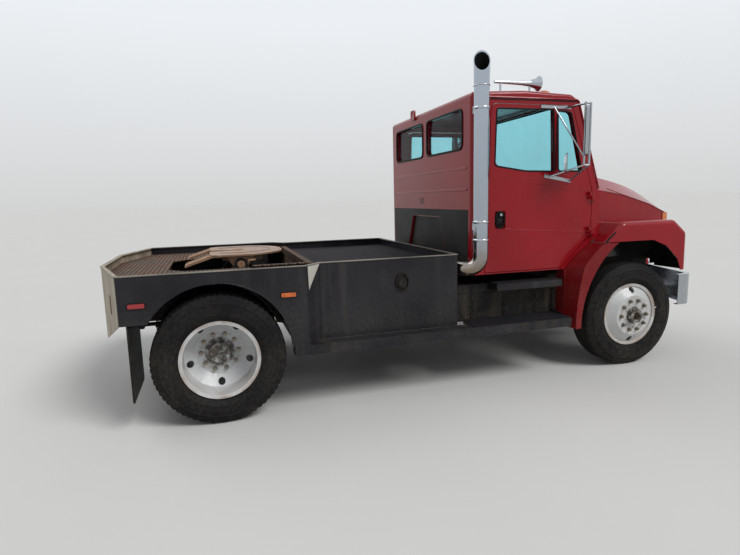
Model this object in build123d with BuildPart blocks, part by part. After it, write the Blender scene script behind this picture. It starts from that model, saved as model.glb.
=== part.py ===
from build123d import *
import os
from collections import namedtuple
from math import cos, hypot, radians, sin

# Hauler-bodied truck tractor: X forward, Y to the left, Z up, millimetres.
# The origin is on the ground at the middle of the overall length and width.

# Overall stations along X
wheelbase = 3811.0
tail_overhang = 884.0
nose_overhang = 921.0
overall_length = tail_overhang + wheelbase + nose_overhang
rear_axle_x = tail_overhang - overall_length / 2
front_axle_x = rear_axle_x + wheelbase
bed_tail_x = rear_axle_x - 878.0
bed_corner_x = rear_axle_x - 663.0
bed_shoulder_x = rear_axle_x + 677.0
bed_box_x = rear_axle_x + 800.0
bed_front_x = rear_axle_x + 2000.0
cab_back_x = rear_axle_x + 2165.0
door_hinge_x = rear_axle_x + 3392.0
door_hinge_y = 1047.0
cowl_x = rear_axle_x + 3500.0
bumper_face_x = overall_length / 2

# Left and right sides
Side = namedtuple("Side", "name sign")
sides = (Side("left", 1), Side("right", -1))

# Wheels and tyres
tyre_radius = 498.0
tyre_width = 275.0
tread_width = 216.0
bead_radius = 286.0
rim_radius = 298.5
rim_width = 234.0
front_track_half = 1009.0
rear_outer_y = 1075.0
dual_spacing = 330.0
rear_inner_y = rear_outer_y - dual_spacing
axle_z = tyre_radius
kingpin_y = 890.0

# Frame rails
rail_outer_y = 432.0
rail_flange = 90.0
rail_web = 10.0
rail_bottom_z = 680.0
rail_top_z = 940.0
rail_rear_x = rear_axle_x - 800.0
rail_front_x = rear_axle_x + 4480.0

# Bed
bed_half_width = 1214.0
bed_tail_half = 475.0
bed_box_half = 1078.0
bed_top_z = 1168.0
bed_cap_z = 1175.0
bed_side_bottom_z = 820.0
bed_tail_bottom_z = 700.0
bed_skirt_z = 550.0
bed_deck_z = 1098.0
bed_skin = 6.0
bed_cap_width = 26.0
arch_radius = 552.0
arch_x = rear_axle_x - 10.0
arch_z = 530.0
box_bottom_z = bed_skirt_z

# Cab
cab_half_width = 1015.0
cab_floor_z = 1010.0
cab_bottom_z = 968.0
gutter_z = 2490.0
roof_top_z = 2560.0
cab_wall = 50.0
pillar_foot_x = rear_axle_x + 3476.0
pillar_foot_z = 1690.0
pillar_head_x = rear_axle_x + 3222.0
pillar_head_z = 2483.0

os.makedirs("parts", exist_ok=True)


def box_between(x0, x1, y0, y1, z0, z1, mode=Mode.ADD):
    """Add a block that fills the given ranges to the part being built."""
    with Locations(((x0 + x1) / 2, (y0 + y1) / 2, (z0 + z1) / 2)):
        Box(x1 - x0, y1 - y0, z1 - z0, mode=mode)


def wheel_plane(x, y, z, sign):
    """Plane across a wheel axle: local x is forward, local z is outboard."""
    return Plane(origin=(x, y * sign, z), x_dir=(1, 0, 0), z_dir=(0, sign, 0))


# Frame rails with their crossmembers
Crossmember = namedtuple("Crossmember", "x z length depth")
crossmembers = (
    Crossmember(rail_rear_x + 40.0, 810.0, 80.0, 240.0),
    Crossmember(rear_axle_x - 420.0, 860.0, 90.0, 120.0),
    Crossmember(rear_axle_x + 560.0, 860.0, 90.0, 120.0),
    Crossmember(rear_axle_x + 1450.0, 860.0, 90.0, 120.0),
    Crossmember(rear_axle_x + 1880.0, 885.0, 90.0, 90.0),
    Crossmember(rail_front_x - 60.0, 810.0, 90.0, 200.0),
)
rail_mid_z = (rail_bottom_z + rail_top_z) / 2
with BuildPart() as frame_rails:
    with BuildSketch(Plane.YZ.offset(rail_rear_x)):
        with Locations((rail_outer_y - rail_flange / 2, rail_mid_z)):
            Rectangle(rail_flange, rail_top_z - rail_bottom_z)
        with Locations((rail_outer_y - rail_web - rail_flange / 2, rail_mid_z)):
            Rectangle(rail_flange, rail_top_z - rail_bottom_z - 2 * rail_web, mode=Mode.SUBTRACT)
        mirror(about=Plane.YZ)
    extrude(amount=rail_front_x - rail_rear_x)
    for member in crossmembers:
        with Locations((member.x, 0, member.z)):
            Box(member.length, 2 * (rail_outer_y - rail_web), member.depth)
frame_rails.part.label = "frame_rails"
export_step(frame_rails.part, "parts/frame_rails.step")

# Front bumper: a swept-back channel with wrapped ends
bumper_z0 = 556.0
bumper_z1 = 856.0
bumper_flat_y = 430.0
bumper_end_y = 1165.0
bumper_end_x = rear_axle_x + 4340.0
bumper_corner_x = rear_axle_x + 4516.0
bumper_skin = 6.0
bumper_flange = 42.0


def bumper_plan(inset):
    """Half plan of the bumper as a closed face, its front drawn in by inset."""
    with BuildSketch() as plan:
        with BuildLine():
            FilletPolyline(
                (bumper_face_x - inset, 0),
                (bumper_face_x - inset, bumper_flat_y),
                (bumper_corner_x - inset, bumper_end_y - inset),
                (bumper_end_x, bumper_end_y - inset),
                radius=130.0 - inset,
            )
            Polyline(
                (bumper_end_x, bumper_end_y - inset),
                (bumper_end_x, bumper_end_y - 60.0),
                (bumper_corner_x - 120.0, bumper_end_y - 330.0),
                (bumper_face_x - 160.0, bumper_flat_y - 40.0),
                (bumper_face_x - 160.0, 0),
                (bumper_face_x - inset, 0),
            )
        make_face()
        mirror(about=Plane.XZ)
    return plan.sketch


bumper_outer = bumper_plan(0.0)
bumper_inner = bumper_plan(bumper_skin)
bumper_hollow = bumper_plan(bumper_flange)
with BuildPart() as front_bumper:
    with BuildSketch(Plane.XY.offset(bumper_z0)):
        add(bumper_outer)
    extrude(amount=bumper_z1 - bumper_z0)
    with BuildSketch(Plane.XY.offset(bumper_z0 + bumper_skin)):
        add(bumper_inner)
    extrude(amount=bumper_z1 - bumper_z0 - 2 * bumper_skin, mode=Mode.SUBTRACT)
    with BuildSketch(Plane.XY.offset(bumper_z0 - 1.0)):
        add(bumper_hollow)
    extrude(amount=bumper_z1 - bumper_z0 + 2.0, mode=Mode.SUBTRACT)
    for side in sides:
        box_between(
            rail_front_x - 60.0,
            bumper_face_x - bumper_skin - 1.0,
            side.sign * (rail_outer_y + 6.0) - 6.0,
            side.sign * (rail_outer_y + 6.0) + 6.0,
            rail_bottom_z - 60.0,
            rail_bottom_z + 120.0,
        )
front_bumper.part.label = "front_bumper"
export_step(front_bumper.part, "parts/front_bumper.step")

# Engine block behind the grille, plain, with the radiator core ahead of it
engine_x0 = rear_axle_x + 3050.0
engine_x1 = rear_axle_x + 4080.0
radiator_x = rear_axle_x + 4260.0
with BuildPart() as engine:
    box_between(engine_x0, engine_x1, -270.0, 270.0, 620.0, 1180.0)
    box_between(engine_x1 - 560.0, engine_x1, -240.0, 240.0, 1170.0, 1400.0)
    box_between(engine_x1 - 10.0, radiator_x + 10.0, -60.0, 60.0, 1000.0, 1120.0)
    box_between(radiator_x, radiator_x + 90.0, -390.0, 390.0, 945.0, 1430.0)
engine.part.label = "engine"
export_step(engine.part, "parts/engine.step")

# Gearbox, propeller shaft and its centre bearing
gearbox_x1 = engine_x0
gearbox_x0 = rear_axle_x + 2300.0
shaft_radius = 45.0
shaft_start = Vector(gearbox_x0, 0, 800.0)
shaft_end = Vector(rear_axle_x + 330.0, 0, 560.0)
with BuildPart() as driveline:
    with BuildSketch(Plane.YZ.offset(gearbox_x0)):
        with Locations((0, 820.0)):
            RectangleRounded(300.0, 300.0, 60.0)
    with BuildSketch(Plane.YZ.offset(gearbox_x1)):
        with Locations((0, 780.0)):
            RectangleRounded(380.0, 380.0, 90.0)
    loft()
    with BuildSketch(Plane(origin=shaft_start, z_dir=shaft_end - shaft_start)):
        Circle(shaft_radius)
    extrude(amount=(shaft_end - shaft_start).length)
driveline.part.label = "driveline"
export_step(driveline.part, "parts/driveline.step")

# Rear axle: banjo housing, differential bowl and hub spindles
axle_tube_radius = 68.0
rear_spindle_y = 800.0
with BuildPart() as rear_axle:
    with BuildSketch(Plane.XZ.offset(-rear_spindle_y)):
        with Locations((rear_axle_x, axle_z)):
            Circle(axle_tube_radius)
    extrude(amount=2 * rear_spindle_y)
    with Locations((rear_axle_x, 0, axle_z)):
        Sphere(205.0)
    with Locations(Plane(origin=(rear_axle_x, 0, axle_z), z_dir=(1, 0, 0.18))):
        Cylinder(95.0, 330.0, align=(Align.CENTER, Align.CENTER, Align.MIN))
    for side in sides:
        box_between(
            rear_axle_x - 70.0,
            rear_axle_x + 70.0,
            side.sign * 432.0 - 50.0,
            side.sign * 432.0 + 50.0,
            axle_z + 40.0,
            axle_z + 104.0,
        )
rear_axle.part.label = "rear_axle"
export_step(rear_axle.part, "parts/rear_axle.step")

# Front axle: drop-centre beam with kingpin eyes
beam_top_z = 520.0
beam_drop_z = 400.0
beam_depth = 110.0
beam_width = 90.0
eye_radius = 35.0
with BuildPart() as front_axle:
    with BuildSketch(Plane.YZ.offset(front_axle_x - beam_width / 2)):
        with BuildLine():
            Polyline(
                (0, beam_drop_z - beam_depth),
                (460.0, beam_drop_z - beam_depth),
                (620.0, beam_top_z - beam_depth),
                (kingpin_y + 40.0, beam_top_z - beam_depth),
                (kingpin_y + 40.0, beam_top_z),
                (600.0, beam_top_z),
                (440.0, beam_drop_z),
                (0, beam_drop_z),
                close=True,
            )
        make_face()
        mirror(about=Plane.YZ)
    extrude(amount=beam_width)
    for face_sign in (-1, 1):
        with BuildSketch(Plane.YZ.offset(front_axle_x + face_sign * beam_width / 2)):
            with BuildLine():
                Polyline(
                    (0, beam_drop_z - beam_depth + 22.0),
                    (452.0, beam_drop_z - beam_depth + 22.0),
                    (612.0, beam_top_z - beam_depth + 22.0),
                    (kingpin_y - 70.0, beam_top_z - beam_depth + 22.0),
                    (kingpin_y - 70.0, beam_top_z - 22.0),
                    (608.0, beam_top_z - 22.0),
                    (448.0, beam_drop_z - 22.0),
                    (0, beam_drop_z - 22.0),
                    close=True,
                )
            make_face()
            mirror(about=Plane.YZ)
        extrude(amount=-face_sign * 33.0, mode=Mode.SUBTRACT)
    for side in sides:
        box_between(
            front_axle_x - beam_width,
            front_axle_x + beam_width,
            side.sign * (kingpin_y + 20.0) - 40.0,
            side.sign * (kingpin_y + 20.0) + 40.0,
            beam_top_z - beam_depth - 1.0,
            beam_top_z + 1.0,
            mode=Mode.SUBTRACT,
        )
        with Locations((front_axle_x, side.sign * kingpin_y, beam_top_z - beam_depth / 2)):
            Cylinder(eye_radius, beam_depth)
        box_between(
            front_axle_x - eye_radius,
            front_axle_x + eye_radius,
            side.sign * (kingpin_y - 15.0) - 15.0,
            side.sign * (kingpin_y - 15.0) + 15.0,
            beam_top_z - beam_depth,
            beam_top_z,
        )
front_axle.part.label = "front_axle"
export_step(front_axle.part, "parts/front_axle.step")

# Leaf springs: stacks of arched leaves, one stack over each end of each axle
LeafSpring = namedtuple("LeafSpring", "x half_span seat_z eye_z leaves width")
leaf_springs_table = (
    LeafSpring(front_axle_x, 640.0, beam_drop_z + 2.0, 610.0, 4, 90.0),
    LeafSpring(rear_axle_x, 640.0, axle_z + 106.0, 668.0, 3, 90.0),
)
leaf_thickness = 16.0
spring_y = rail_outer_y - 45.0
with BuildPart() as leaf_springs:
    for spring in leaf_springs_table:
        for leaf in range(spring.leaves):
            span = spring.half_span * (1.0 - 0.2 * leaf)
            sag = (spring.eye_z - spring.seat_z - 60.0) * (span / spring.half_span) ** 2
            low = spring.seat_z + (spring.leaves - 1 - leaf) * leaf_thickness
            for side in sides:
                with BuildSketch(Plane.XZ.offset(-side.sign * spring_y - spring.width / 2)):
                    with BuildLine():
                        lower = ThreePointArc(
                            (spring.x - span, low + sag),
                            (spring.x, low),
                            (spring.x + span, low + sag),
                        )
                        upper = ThreePointArc(
                            (spring.x - span, low + sag + leaf_thickness),
                            (spring.x, low + leaf_thickness),
                            (spring.x + span, low + sag + leaf_thickness),
                        )
                        Line(lower @ 0, upper @ 0)
                        Line(lower @ 1, upper @ 1)
                    make_face()
                extrude(amount=spring.width)
        for side in sides:
            for end in (-1, 1):
                eye_x = spring.x + end * spring.half_span
                box_between(
                    eye_x - 38.0,
                    eye_x + 38.0,
                    side.sign * spring_y - spring.width / 2,
                    side.sign * spring_y + spring.width / 2,
                    spring.eye_z - 50.0,
                    rail_bottom_z,
                )
            box_between(
                spring.x - 60.0,
                spring.x + 60.0,
                side.sign * spring_y - spring.width / 2,
                side.sign * spring_y + spring.width / 2,
                spring.seat_z + spring.leaves * leaf_thickness - 4.0,
                spring.seat_z + spring.leaves * leaf_thickness + 26.0,
            )
leaf_springs.part.label = "leaf_springs"
export_step(leaf_springs.part, "parts/leaf_springs.step")

# Steering knuckles: kingpin boss, spindle, brake plate and steering arm
spindle_radius = 38.0
knuckle_boss_y = kingpin_y + 34.0
spindle_end_y = 1110.0
steer_arm_length = 150.0
boss_radius = 42.0
brake_plate_radius = 195.0
for side in sides:
    with BuildPart() as knuckle:
        with Locations((front_axle_x, side.sign * kingpin_y, axle_z + 62.0)):
            Cylinder(boss_radius, 62.0)
        with Locations((front_axle_x, side.sign * kingpin_y, axle_z - 128.0)):
            Cylinder(boss_radius, 62.0)
        with BuildSketch(wheel_plane(front_axle_x, kingpin_y + 41.0, axle_z, side.sign)):
            RectangleRounded(100.0, 312.0, 30.0)
        extrude(amount=34.0)
        box_between(
            front_axle_x - 42.0,
            front_axle_x + 42.0,
            side.sign * (kingpin_y + 32.0) - 34.0,
            side.sign * (kingpin_y + 32.0) + 34.0,
            axle_z + 31.0,
            axle_z + 93.0,
        )
        box_between(
            front_axle_x - 42.0,
            front_axle_x + 42.0,
            side.sign * (kingpin_y + 32.0) - 34.0,
            side.sign * (kingpin_y + 32.0) + 34.0,
            axle_z - 159.0,
            axle_z - 97.0,
        )
        with BuildSketch(wheel_plane(front_axle_x, kingpin_y + 74.0, axle_z, side.sign)):
            Circle(brake_plate_radius)
        extrude(amount=8.0)
        with BuildSketch(wheel_plane(front_axle_x, kingpin_y + 74.0, axle_z, side.sign)):
            Circle(spindle_radius)
        extrude(amount=spindle_end_y - kingpin_y - 74.0)
        box_between(
            front_axle_x - steer_arm_length - 24.0,
            front_axle_x - 30.0,
            side.sign * kingpin_y - 22.0,
            side.sign * kingpin_y + 22.0,
            axle_z - 146.0,
            axle_z - 118.0,
        )
    knuckle.part.label = f"knuckle_{side.name}"
    export_step(knuckle.part, f"parts/knuckle_{side.name}.step")

# Tie rod between the two steering arms
arm_bottom_z = axle_z - 146.0
tie_rod_radius = 19.0
with BuildPart() as tie_rod:
    with BuildSketch(Plane.XZ.offset(-kingpin_y)):
        with Locations((front_axle_x - steer_arm_length, arm_bottom_z - 34.0)):
            Circle(tie_rod_radius)
    extrude(amount=2 * kingpin_y)
    for side in sides:
        with Locations((front_axle_x - steer_arm_length, side.sign * kingpin_y, arm_bottom_z - 26.0)):
            Cylinder(22.0, 52.0)
tie_rod.part.label = "tie_rod"
export_step(tie_rod.part, "parts/tie_rod.step")


# Half of the tyre section from the bead to the crown: radius, distance from the middle
tyre_section = (
    (bead_radius, 101.0),
    (rim_radius + 2.0, 102.0),
    (325.0, 126.0),
    (362.0, 136.0),
    (398.0, tyre_width / 2),
    (440.0, 131.0),
    (474.0, tread_width / 2 + 9.0),
    (489.0, tread_width / 2 - 2.0),
    (tyre_radius - 3.0, tread_width / 2 - 22.0),
    (tyre_radius, 40.0),
)


def tyre_ring():
    """Tyre centred on the origin, its axle along local z, open at the bead."""
    mirrored_half = tuple((radius, -reach) for radius, reach in reversed(tyre_section))
    with BuildPart() as ring:
        with BuildSketch(Plane.XZ):
            with BuildLine():
                Polyline(*tyre_section, *mirrored_half, close=True)
            make_face()
        revolve(axis=Axis.Z)
    return ring.part


def disc_wheel(dish, hub_face, hole_count, hole_circle, hole_radius):
    """Rim and disc, axle along local z; the disc's outer face is at z = dish."""
    lip = rim_width / 2
    with BuildPart() as wheel:
        with BuildSketch(Plane.XZ):
            with BuildLine():
                Polyline(
                    (rim_radius, -lip),
                    (rim_radius, -lip + 12.0),
                    (bead_radius - 1.0, -lip + 14.0),
                    (bead_radius - 1.0, lip - 14.0),
                    (rim_radius, lip - 12.0),
                    (rim_radius, lip),
                    (bead_radius - 14.0, lip - 6.0),
                    (bead_radius - 14.0, -lip + 6.0),
                    close=True,
                )
            make_face()
        revolve(axis=Axis.Z)
        with BuildSketch(Plane.XZ):
            with BuildLine():
                Polyline(
                    (110.0, dish),
                    (hub_face, dish),
                    (bead_radius - 12.0, dish - 62.0),
                    (bead_radius - 12.0, dish - 76.0),
                    (hub_face - 4.0, dish - 14.0),
                    (110.0, dish - 14.0),
                    close=True,
                )
            make_face()
        revolve(axis=Axis.Z)
        with BuildSketch(Plane.XY.offset(dish - 120.0)):
            with PolarLocations(hole_circle, hole_count, start_angle=90):
                Circle(hole_radius)
        extrude(amount=200.0, mode=Mode.SUBTRACT)
    return wheel.part


tyre = tyre_ring()
front_dish = 158.0
rear_dish = dual_spacing / 2 - 4.0
front_disc = disc_wheel(front_dish, 190.0, 2, 238.0, 28.0)
rear_disc = disc_wheel(rear_dish, 190.0, 5, 238.0, 28.0)
hub_radius = 108.0
drum_radius = 206.0

# Front wheels, each with its tyre, disc wheel and hub
for side in sides:
    wheel_place = wheel_plane(front_axle_x, front_track_half, axle_z, side.sign)
    with BuildPart() as front_tyre:
        add(wheel_place.location * tyre)
    front_tyre.part.label = f"front_tyre_{side.name}"
    export_step(front_tyre.part, f"parts/front_tyre_{side.name}.step")

    with BuildPart() as front_wheel:
        add(wheel_place.location * front_disc)
        with BuildSketch(wheel_place.offset(front_dish - 150.0)):
            Circle(hub_radius + 3.0)
            Circle(spindle_radius + 2.0, mode=Mode.SUBTRACT)
        extrude(amount=150.0)
        with BuildSketch(wheel_place.offset(front_dish)):
            Circle(72.0)
        extrude(amount=46.0, taper=8.0)
        with BuildSketch(wheel_place.offset(-20.0)):
            Circle(drum_radius)
            Circle(drum_radius - 10.0, mode=Mode.SUBTRACT)
        extrude(amount=front_dish + 6.0)
        with BuildSketch(wheel_place.offset(front_dish - 24.0)):
            Circle(drum_radius)
            Circle(hub_radius - 10.0, mode=Mode.SUBTRACT)
        extrude(amount=10.0)
    front_wheel.part.label = f"front_wheel_{side.name}"
    export_step(front_wheel.part, f"parts/front_wheel_{side.name}.step")

# Rear wheels: two tyres and two discs back to back on one hub, each side
dual_y = (rear_outer_y + rear_inner_y) / 2
for side in sides:
    outer_place = wheel_plane(rear_axle_x, rear_outer_y, axle_z, side.sign)
    inner_place = wheel_plane(rear_axle_x, rear_inner_y, axle_z, side.sign)
    flipped = Plane(origin=outer_place.origin, x_dir=(1, 0, 0), z_dir=(0, -side.sign, 0))
    hub_place = wheel_plane(rear_axle_x, dual_y, axle_z, side.sign)
    with BuildPart() as rear_tyres:
        add(outer_place.location * tyre)
        add(inner_place.location * tyre)
    rear_tyres.part.label = f"rear_tyres_{side.name}"
    export_step(rear_tyres.part, f"parts/rear_tyres_{side.name}.step")

    with BuildPart() as rear_wheels:
        add(flipped.location * rear_disc)
        add(inner_place.location * rear_disc)
        with BuildSketch(hub_place.offset(-150.0)):
            Circle(hub_radius + 3.0)
            Circle(axle_tube_radius + 3.0, mode=Mode.SUBTRACT)
        extrude(amount=150.0)
        with BuildSketch(hub_place.offset(-16.0)):
            Circle(hub_radius + 3.0)
        extrude(amount=34.0)
        with BuildSketch(hub_place.offset(18.0)):
            Circle(86.0)
        extrude(amount=52.0, taper=6.0)
        with BuildSketch(hub_place.offset(-190.0)):
            Circle(drum_radius)
            Circle(drum_radius - 12.0, mode=Mode.SUBTRACT)
        extrude(amount=175.0)
        with BuildSketch(hub_place.offset(-26.0)):
            Circle(drum_radius)
            Circle(hub_radius - 10.0, mode=Mode.SUBTRACT)
        extrude(amount=12.0)
    rear_wheels.part.label = f"rear_wheels_{side.name}"
    export_step(rear_wheels.part, f"parts/rear_wheels_{side.name}.step")


def side_plane(y):
    """Plane for a side view: local x is forward, local y is up, drawn at y."""
    return Plane(origin=(0, y, 0), x_dir=(1, 0, 0), z_dir=(0, -1, 0))


def slab_plane(sign, outer_y, thickness):
    """Side-view plane whose extrusion by thickness ends flush with outer_y."""
    return side_plane(max(sign * outer_y, sign * (outer_y - thickness)))


# Bed: welded side walls with wheel arches, slanted corners and a rolled cap
def bed_outline(inset):
    """Plan of the bed's outer walls, drawn in by inset all round."""
    with BuildSketch() as outline:
        with BuildLine():
            Polyline(
                (bed_tail_x + inset, 0),
                (bed_tail_x + inset, bed_tail_half - inset * 0.15),
                (bed_corner_x + inset * 0.75, bed_half_width - inset),
                (bed_shoulder_x - inset * 0.4, bed_half_width - inset),
                (bed_box_x - inset * 0.4, bed_box_half - inset),
                (bed_front_x - inset, bed_box_half - inset),
                (bed_front_x - inset, 0),
                (bed_tail_x + inset, 0),
            )
        make_face()
        mirror(about=Plane.XZ)
    return outline.sketch


corner_run = Vector(bed_corner_x - bed_tail_x, bed_half_width - bed_tail_half, 0)
tail_slot_fraction = 0.55
tail_slot_z = 925.0
tail_slot_height = 150.0
tail_slot_width = 78.0


def tail_slot_plane(sign, depth):
    """Plane over a slanted rear corner's lamp slot, sunk by depth: local z is outward."""
    outward = Vector(-corner_run.Y, sign * corner_run.X, 0).normalized()
    slot_centre = Vector(
        bed_tail_x + corner_run.X * tail_slot_fraction,
        sign * (bed_tail_half + corner_run.Y * tail_slot_fraction),
        tail_slot_z,
    )
    return Plane(origin=slot_centre - outward * depth, x_dir=(0, 0, 1), z_dir=outward)


with BuildPart() as bed_walls:
    with BuildSketch(Plane.XY.offset(bed_skirt_z)):
        add(bed_outline(0.0))
        add(bed_outline(bed_skin), mode=Mode.SUBTRACT)
    extrude(amount=bed_top_z - bed_skirt_z)
    with BuildSketch(Plane.XY.offset(bed_top_z)):
        add(bed_outline(-6.0))
        add(bed_outline(bed_cap_width), mode=Mode.SUBTRACT)
    extrude(amount=bed_cap_z - bed_top_z)
    with BuildSketch(side_plane(bed_half_width + 50.0)):
        with Locations((arch_x, arch_z)):
            Circle(arch_radius)
    extrude(amount=2 * bed_half_width + 100.0, mode=Mode.SUBTRACT)
    with BuildSketch(side_plane(bed_half_width + 50.0)):
        with BuildLine():
            Polyline(
                (bed_tail_x - 50.0, bed_skirt_z - 50.0),
                (bed_tail_x - 50.0, bed_tail_bottom_z),
                (bed_tail_x, bed_tail_bottom_z),
                (bed_corner_x, bed_side_bottom_z),
                (arch_x, bed_side_bottom_z),
                (arch_x, bed_skirt_z - 50.0),
                close=True,
            )
        make_face()
    extrude(amount=2 * bed_half_width + 100.0, mode=Mode.SUBTRACT)
    box_between(
        bed_front_x - 40.0,
        bed_front_x + 10.0,
        -rail_outer_y - 10.0,
        rail_outer_y + 10.0,
        box_bottom_z - 60.0,
        rail_top_z + 8.0,
        mode=Mode.SUBTRACT,
    )
    for side in sides:
        with BuildSketch(slab_plane(side.sign, bed_half_width, 34.0)):
            with Locations((arch_x, arch_z)):
                Circle(arch_radius + 6.0)
                Circle(arch_radius, mode=Mode.SUBTRACT)
            with Locations((arch_x - 700.0, arch_z)):
                Rectangle(1400.0, 2 * (bed_side_bottom_z - arch_z), mode=Mode.SUBTRACT)
            with Locations((arch_x + 700.0, arch_z)):
                Rectangle(1400.0, 60.0, mode=Mode.SUBTRACT)
            with Locations((arch_x, arch_z - 700.0)):
                Rectangle(1400.0, 1400.0, mode=Mode.SUBTRACT)
        extrude(amount=34.0)
    for side in sides:
        with BuildSketch(tail_slot_plane(side.sign, 2 * bed_skin)):
            RectangleRounded(tail_slot_height, tail_slot_width, 16.0)
        extrude(amount=4 * bed_skin, mode=Mode.SUBTRACT)
bed_walls.part.label = "bed_walls"
export_step(bed_walls.part, "parts/bed_walls.step")

# Deck plate with the well for the coupling, on cross channels over the rails
well_x0 = rear_axle_x - 250.0
well_step_x = rear_axle_x + 300.0
well_x1 = rear_axle_x + 742.0
well_half = 480.0
well_wide_half = 790.0
well_corner = 130.0
kerb_flange = 50.0
kerb_web = 7.0
kerb_top_z = 1152.0
deck_thickness = 6.0
channel_half = 30.0
bed_channels = (
    (bed_tail_x + 120.0, 740.0),
    (well_x0 - 190.0, 1150.0),
    (well_x1 + 50.0, bed_box_half - 30.0),
    (rear_axle_x + 1300.0, bed_box_half - 20.0),
    (bed_front_x - 80.0, bed_box_half - 20.0),
)
with BuildPart() as bed_deck:
    with BuildSketch(Plane.XY.offset(bed_deck_z - deck_thickness)):
        add(bed_outline(bed_skin + 0.3))
        with BuildLine():
            Polyline(
                (well_x0 - well_corner, 0),
                (well_x0 - well_corner, well_half - well_corner),
                (well_x0, well_half),
                (well_step_x, well_half),
                (well_step_x, well_wide_half),
                (well_x1, well_wide_half),
                (well_x1, 0),
                (well_x0 - well_corner, 0),
            )
        well = make_face(mode=Mode.PRIVATE)
        add(well, mode=Mode.SUBTRACT)
        add(mirror(well, about=Plane.XZ, mode=Mode.PRIVATE), mode=Mode.SUBTRACT)
    extrude(amount=deck_thickness)
    for kerb_z0, flange in ((bed_deck_z, kerb_web), (kerb_top_z - kerb_web, kerb_flange)):
        with BuildSketch(Plane.XY.offset(kerb_z0)):
            with Locations(((well_step_x + well_x1 + flange) / 2, 0)):
                Rectangle(well_x1 + flange - well_step_x, 2 * (well_wide_half + flange))
            with Locations(((well_step_x + well_x1) / 2, 0)):
                Rectangle(well_x1 - well_step_x, 2 * well_wide_half, mode=Mode.SUBTRACT)
        extrude(amount=kerb_top_z - kerb_z0)
    for station, half_length in bed_channels:
        box_between(
            station - channel_half,
            station + channel_half,
            -half_length,
            half_length,
            rail_top_z,
            bed_deck_z - deck_thickness,
        )
bed_deck.part.label = "bed_deck"
export_step(bed_deck.part, "parts/bed_deck.step")

# Closed side boxes under the deck, which hold the fuel tanks
box_inner_y = rail_outer_y + 60.0
with BuildPart() as bed_boxes:
    for side in sides:
        box_between(
            bed_box_x + 20.0,
            bed_front_x - bed_skin,
            side.sign * (box_inner_y + bed_box_half - bed_skin) / 2
            - (bed_box_half - bed_skin - box_inner_y) / 2,
            side.sign * (box_inner_y + bed_box_half - bed_skin) / 2
            + (bed_box_half - bed_skin - box_inner_y) / 2,
            box_bottom_z,
            rail_top_z,
        )
bed_boxes.part.label = "bed_boxes"
export_step(bed_boxes.part, "parts/bed_boxes.step")

# Coupling base: rail angles, cross plate and the two pivot brackets
coupling_x = rear_axle_x + 230.0
coupling_pivot_z = 1120.0
coupling_top_z = 1212.0
coupling_pivot_y = 400.0
plate_half_width = 455.0
with BuildPart() as coupling_base:
    for side in sides:
        box_between(
            coupling_x - 420.0,
            coupling_x + 480.0,
            side.sign * (rail_outer_y - 45.0) - 45.0,
            side.sign * (rail_outer_y - 45.0) + 45.0,
            rail_top_z,
            rail_top_z + 20.0,
        )
        with BuildSketch(slab_plane(side.sign, coupling_pivot_y + 20.0, 40.0)):
            with BuildLine():
                Polyline(
                    (coupling_x - 190.0, rail_top_z + 18.0),
                    (coupling_x + 190.0, rail_top_z + 18.0),
                    (coupling_x + 55.0, coupling_pivot_z),
                    (coupling_x - 55.0, coupling_pivot_z),
                    close=True,
                )
            make_face()
            with Locations((coupling_x, coupling_pivot_z)):
                Circle(55.0)
        extrude(amount=40.0)
    box_between(
        coupling_x - 150.0,
        coupling_x + 150.0,
        -coupling_pivot_y,
        coupling_pivot_y,
        rail_top_z + 8.0,
        rail_top_z + 20.0,
    )
coupling_base.part.label = "coupling_base"
export_step(coupling_base.part, "parts/coupling_base.step")

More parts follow.
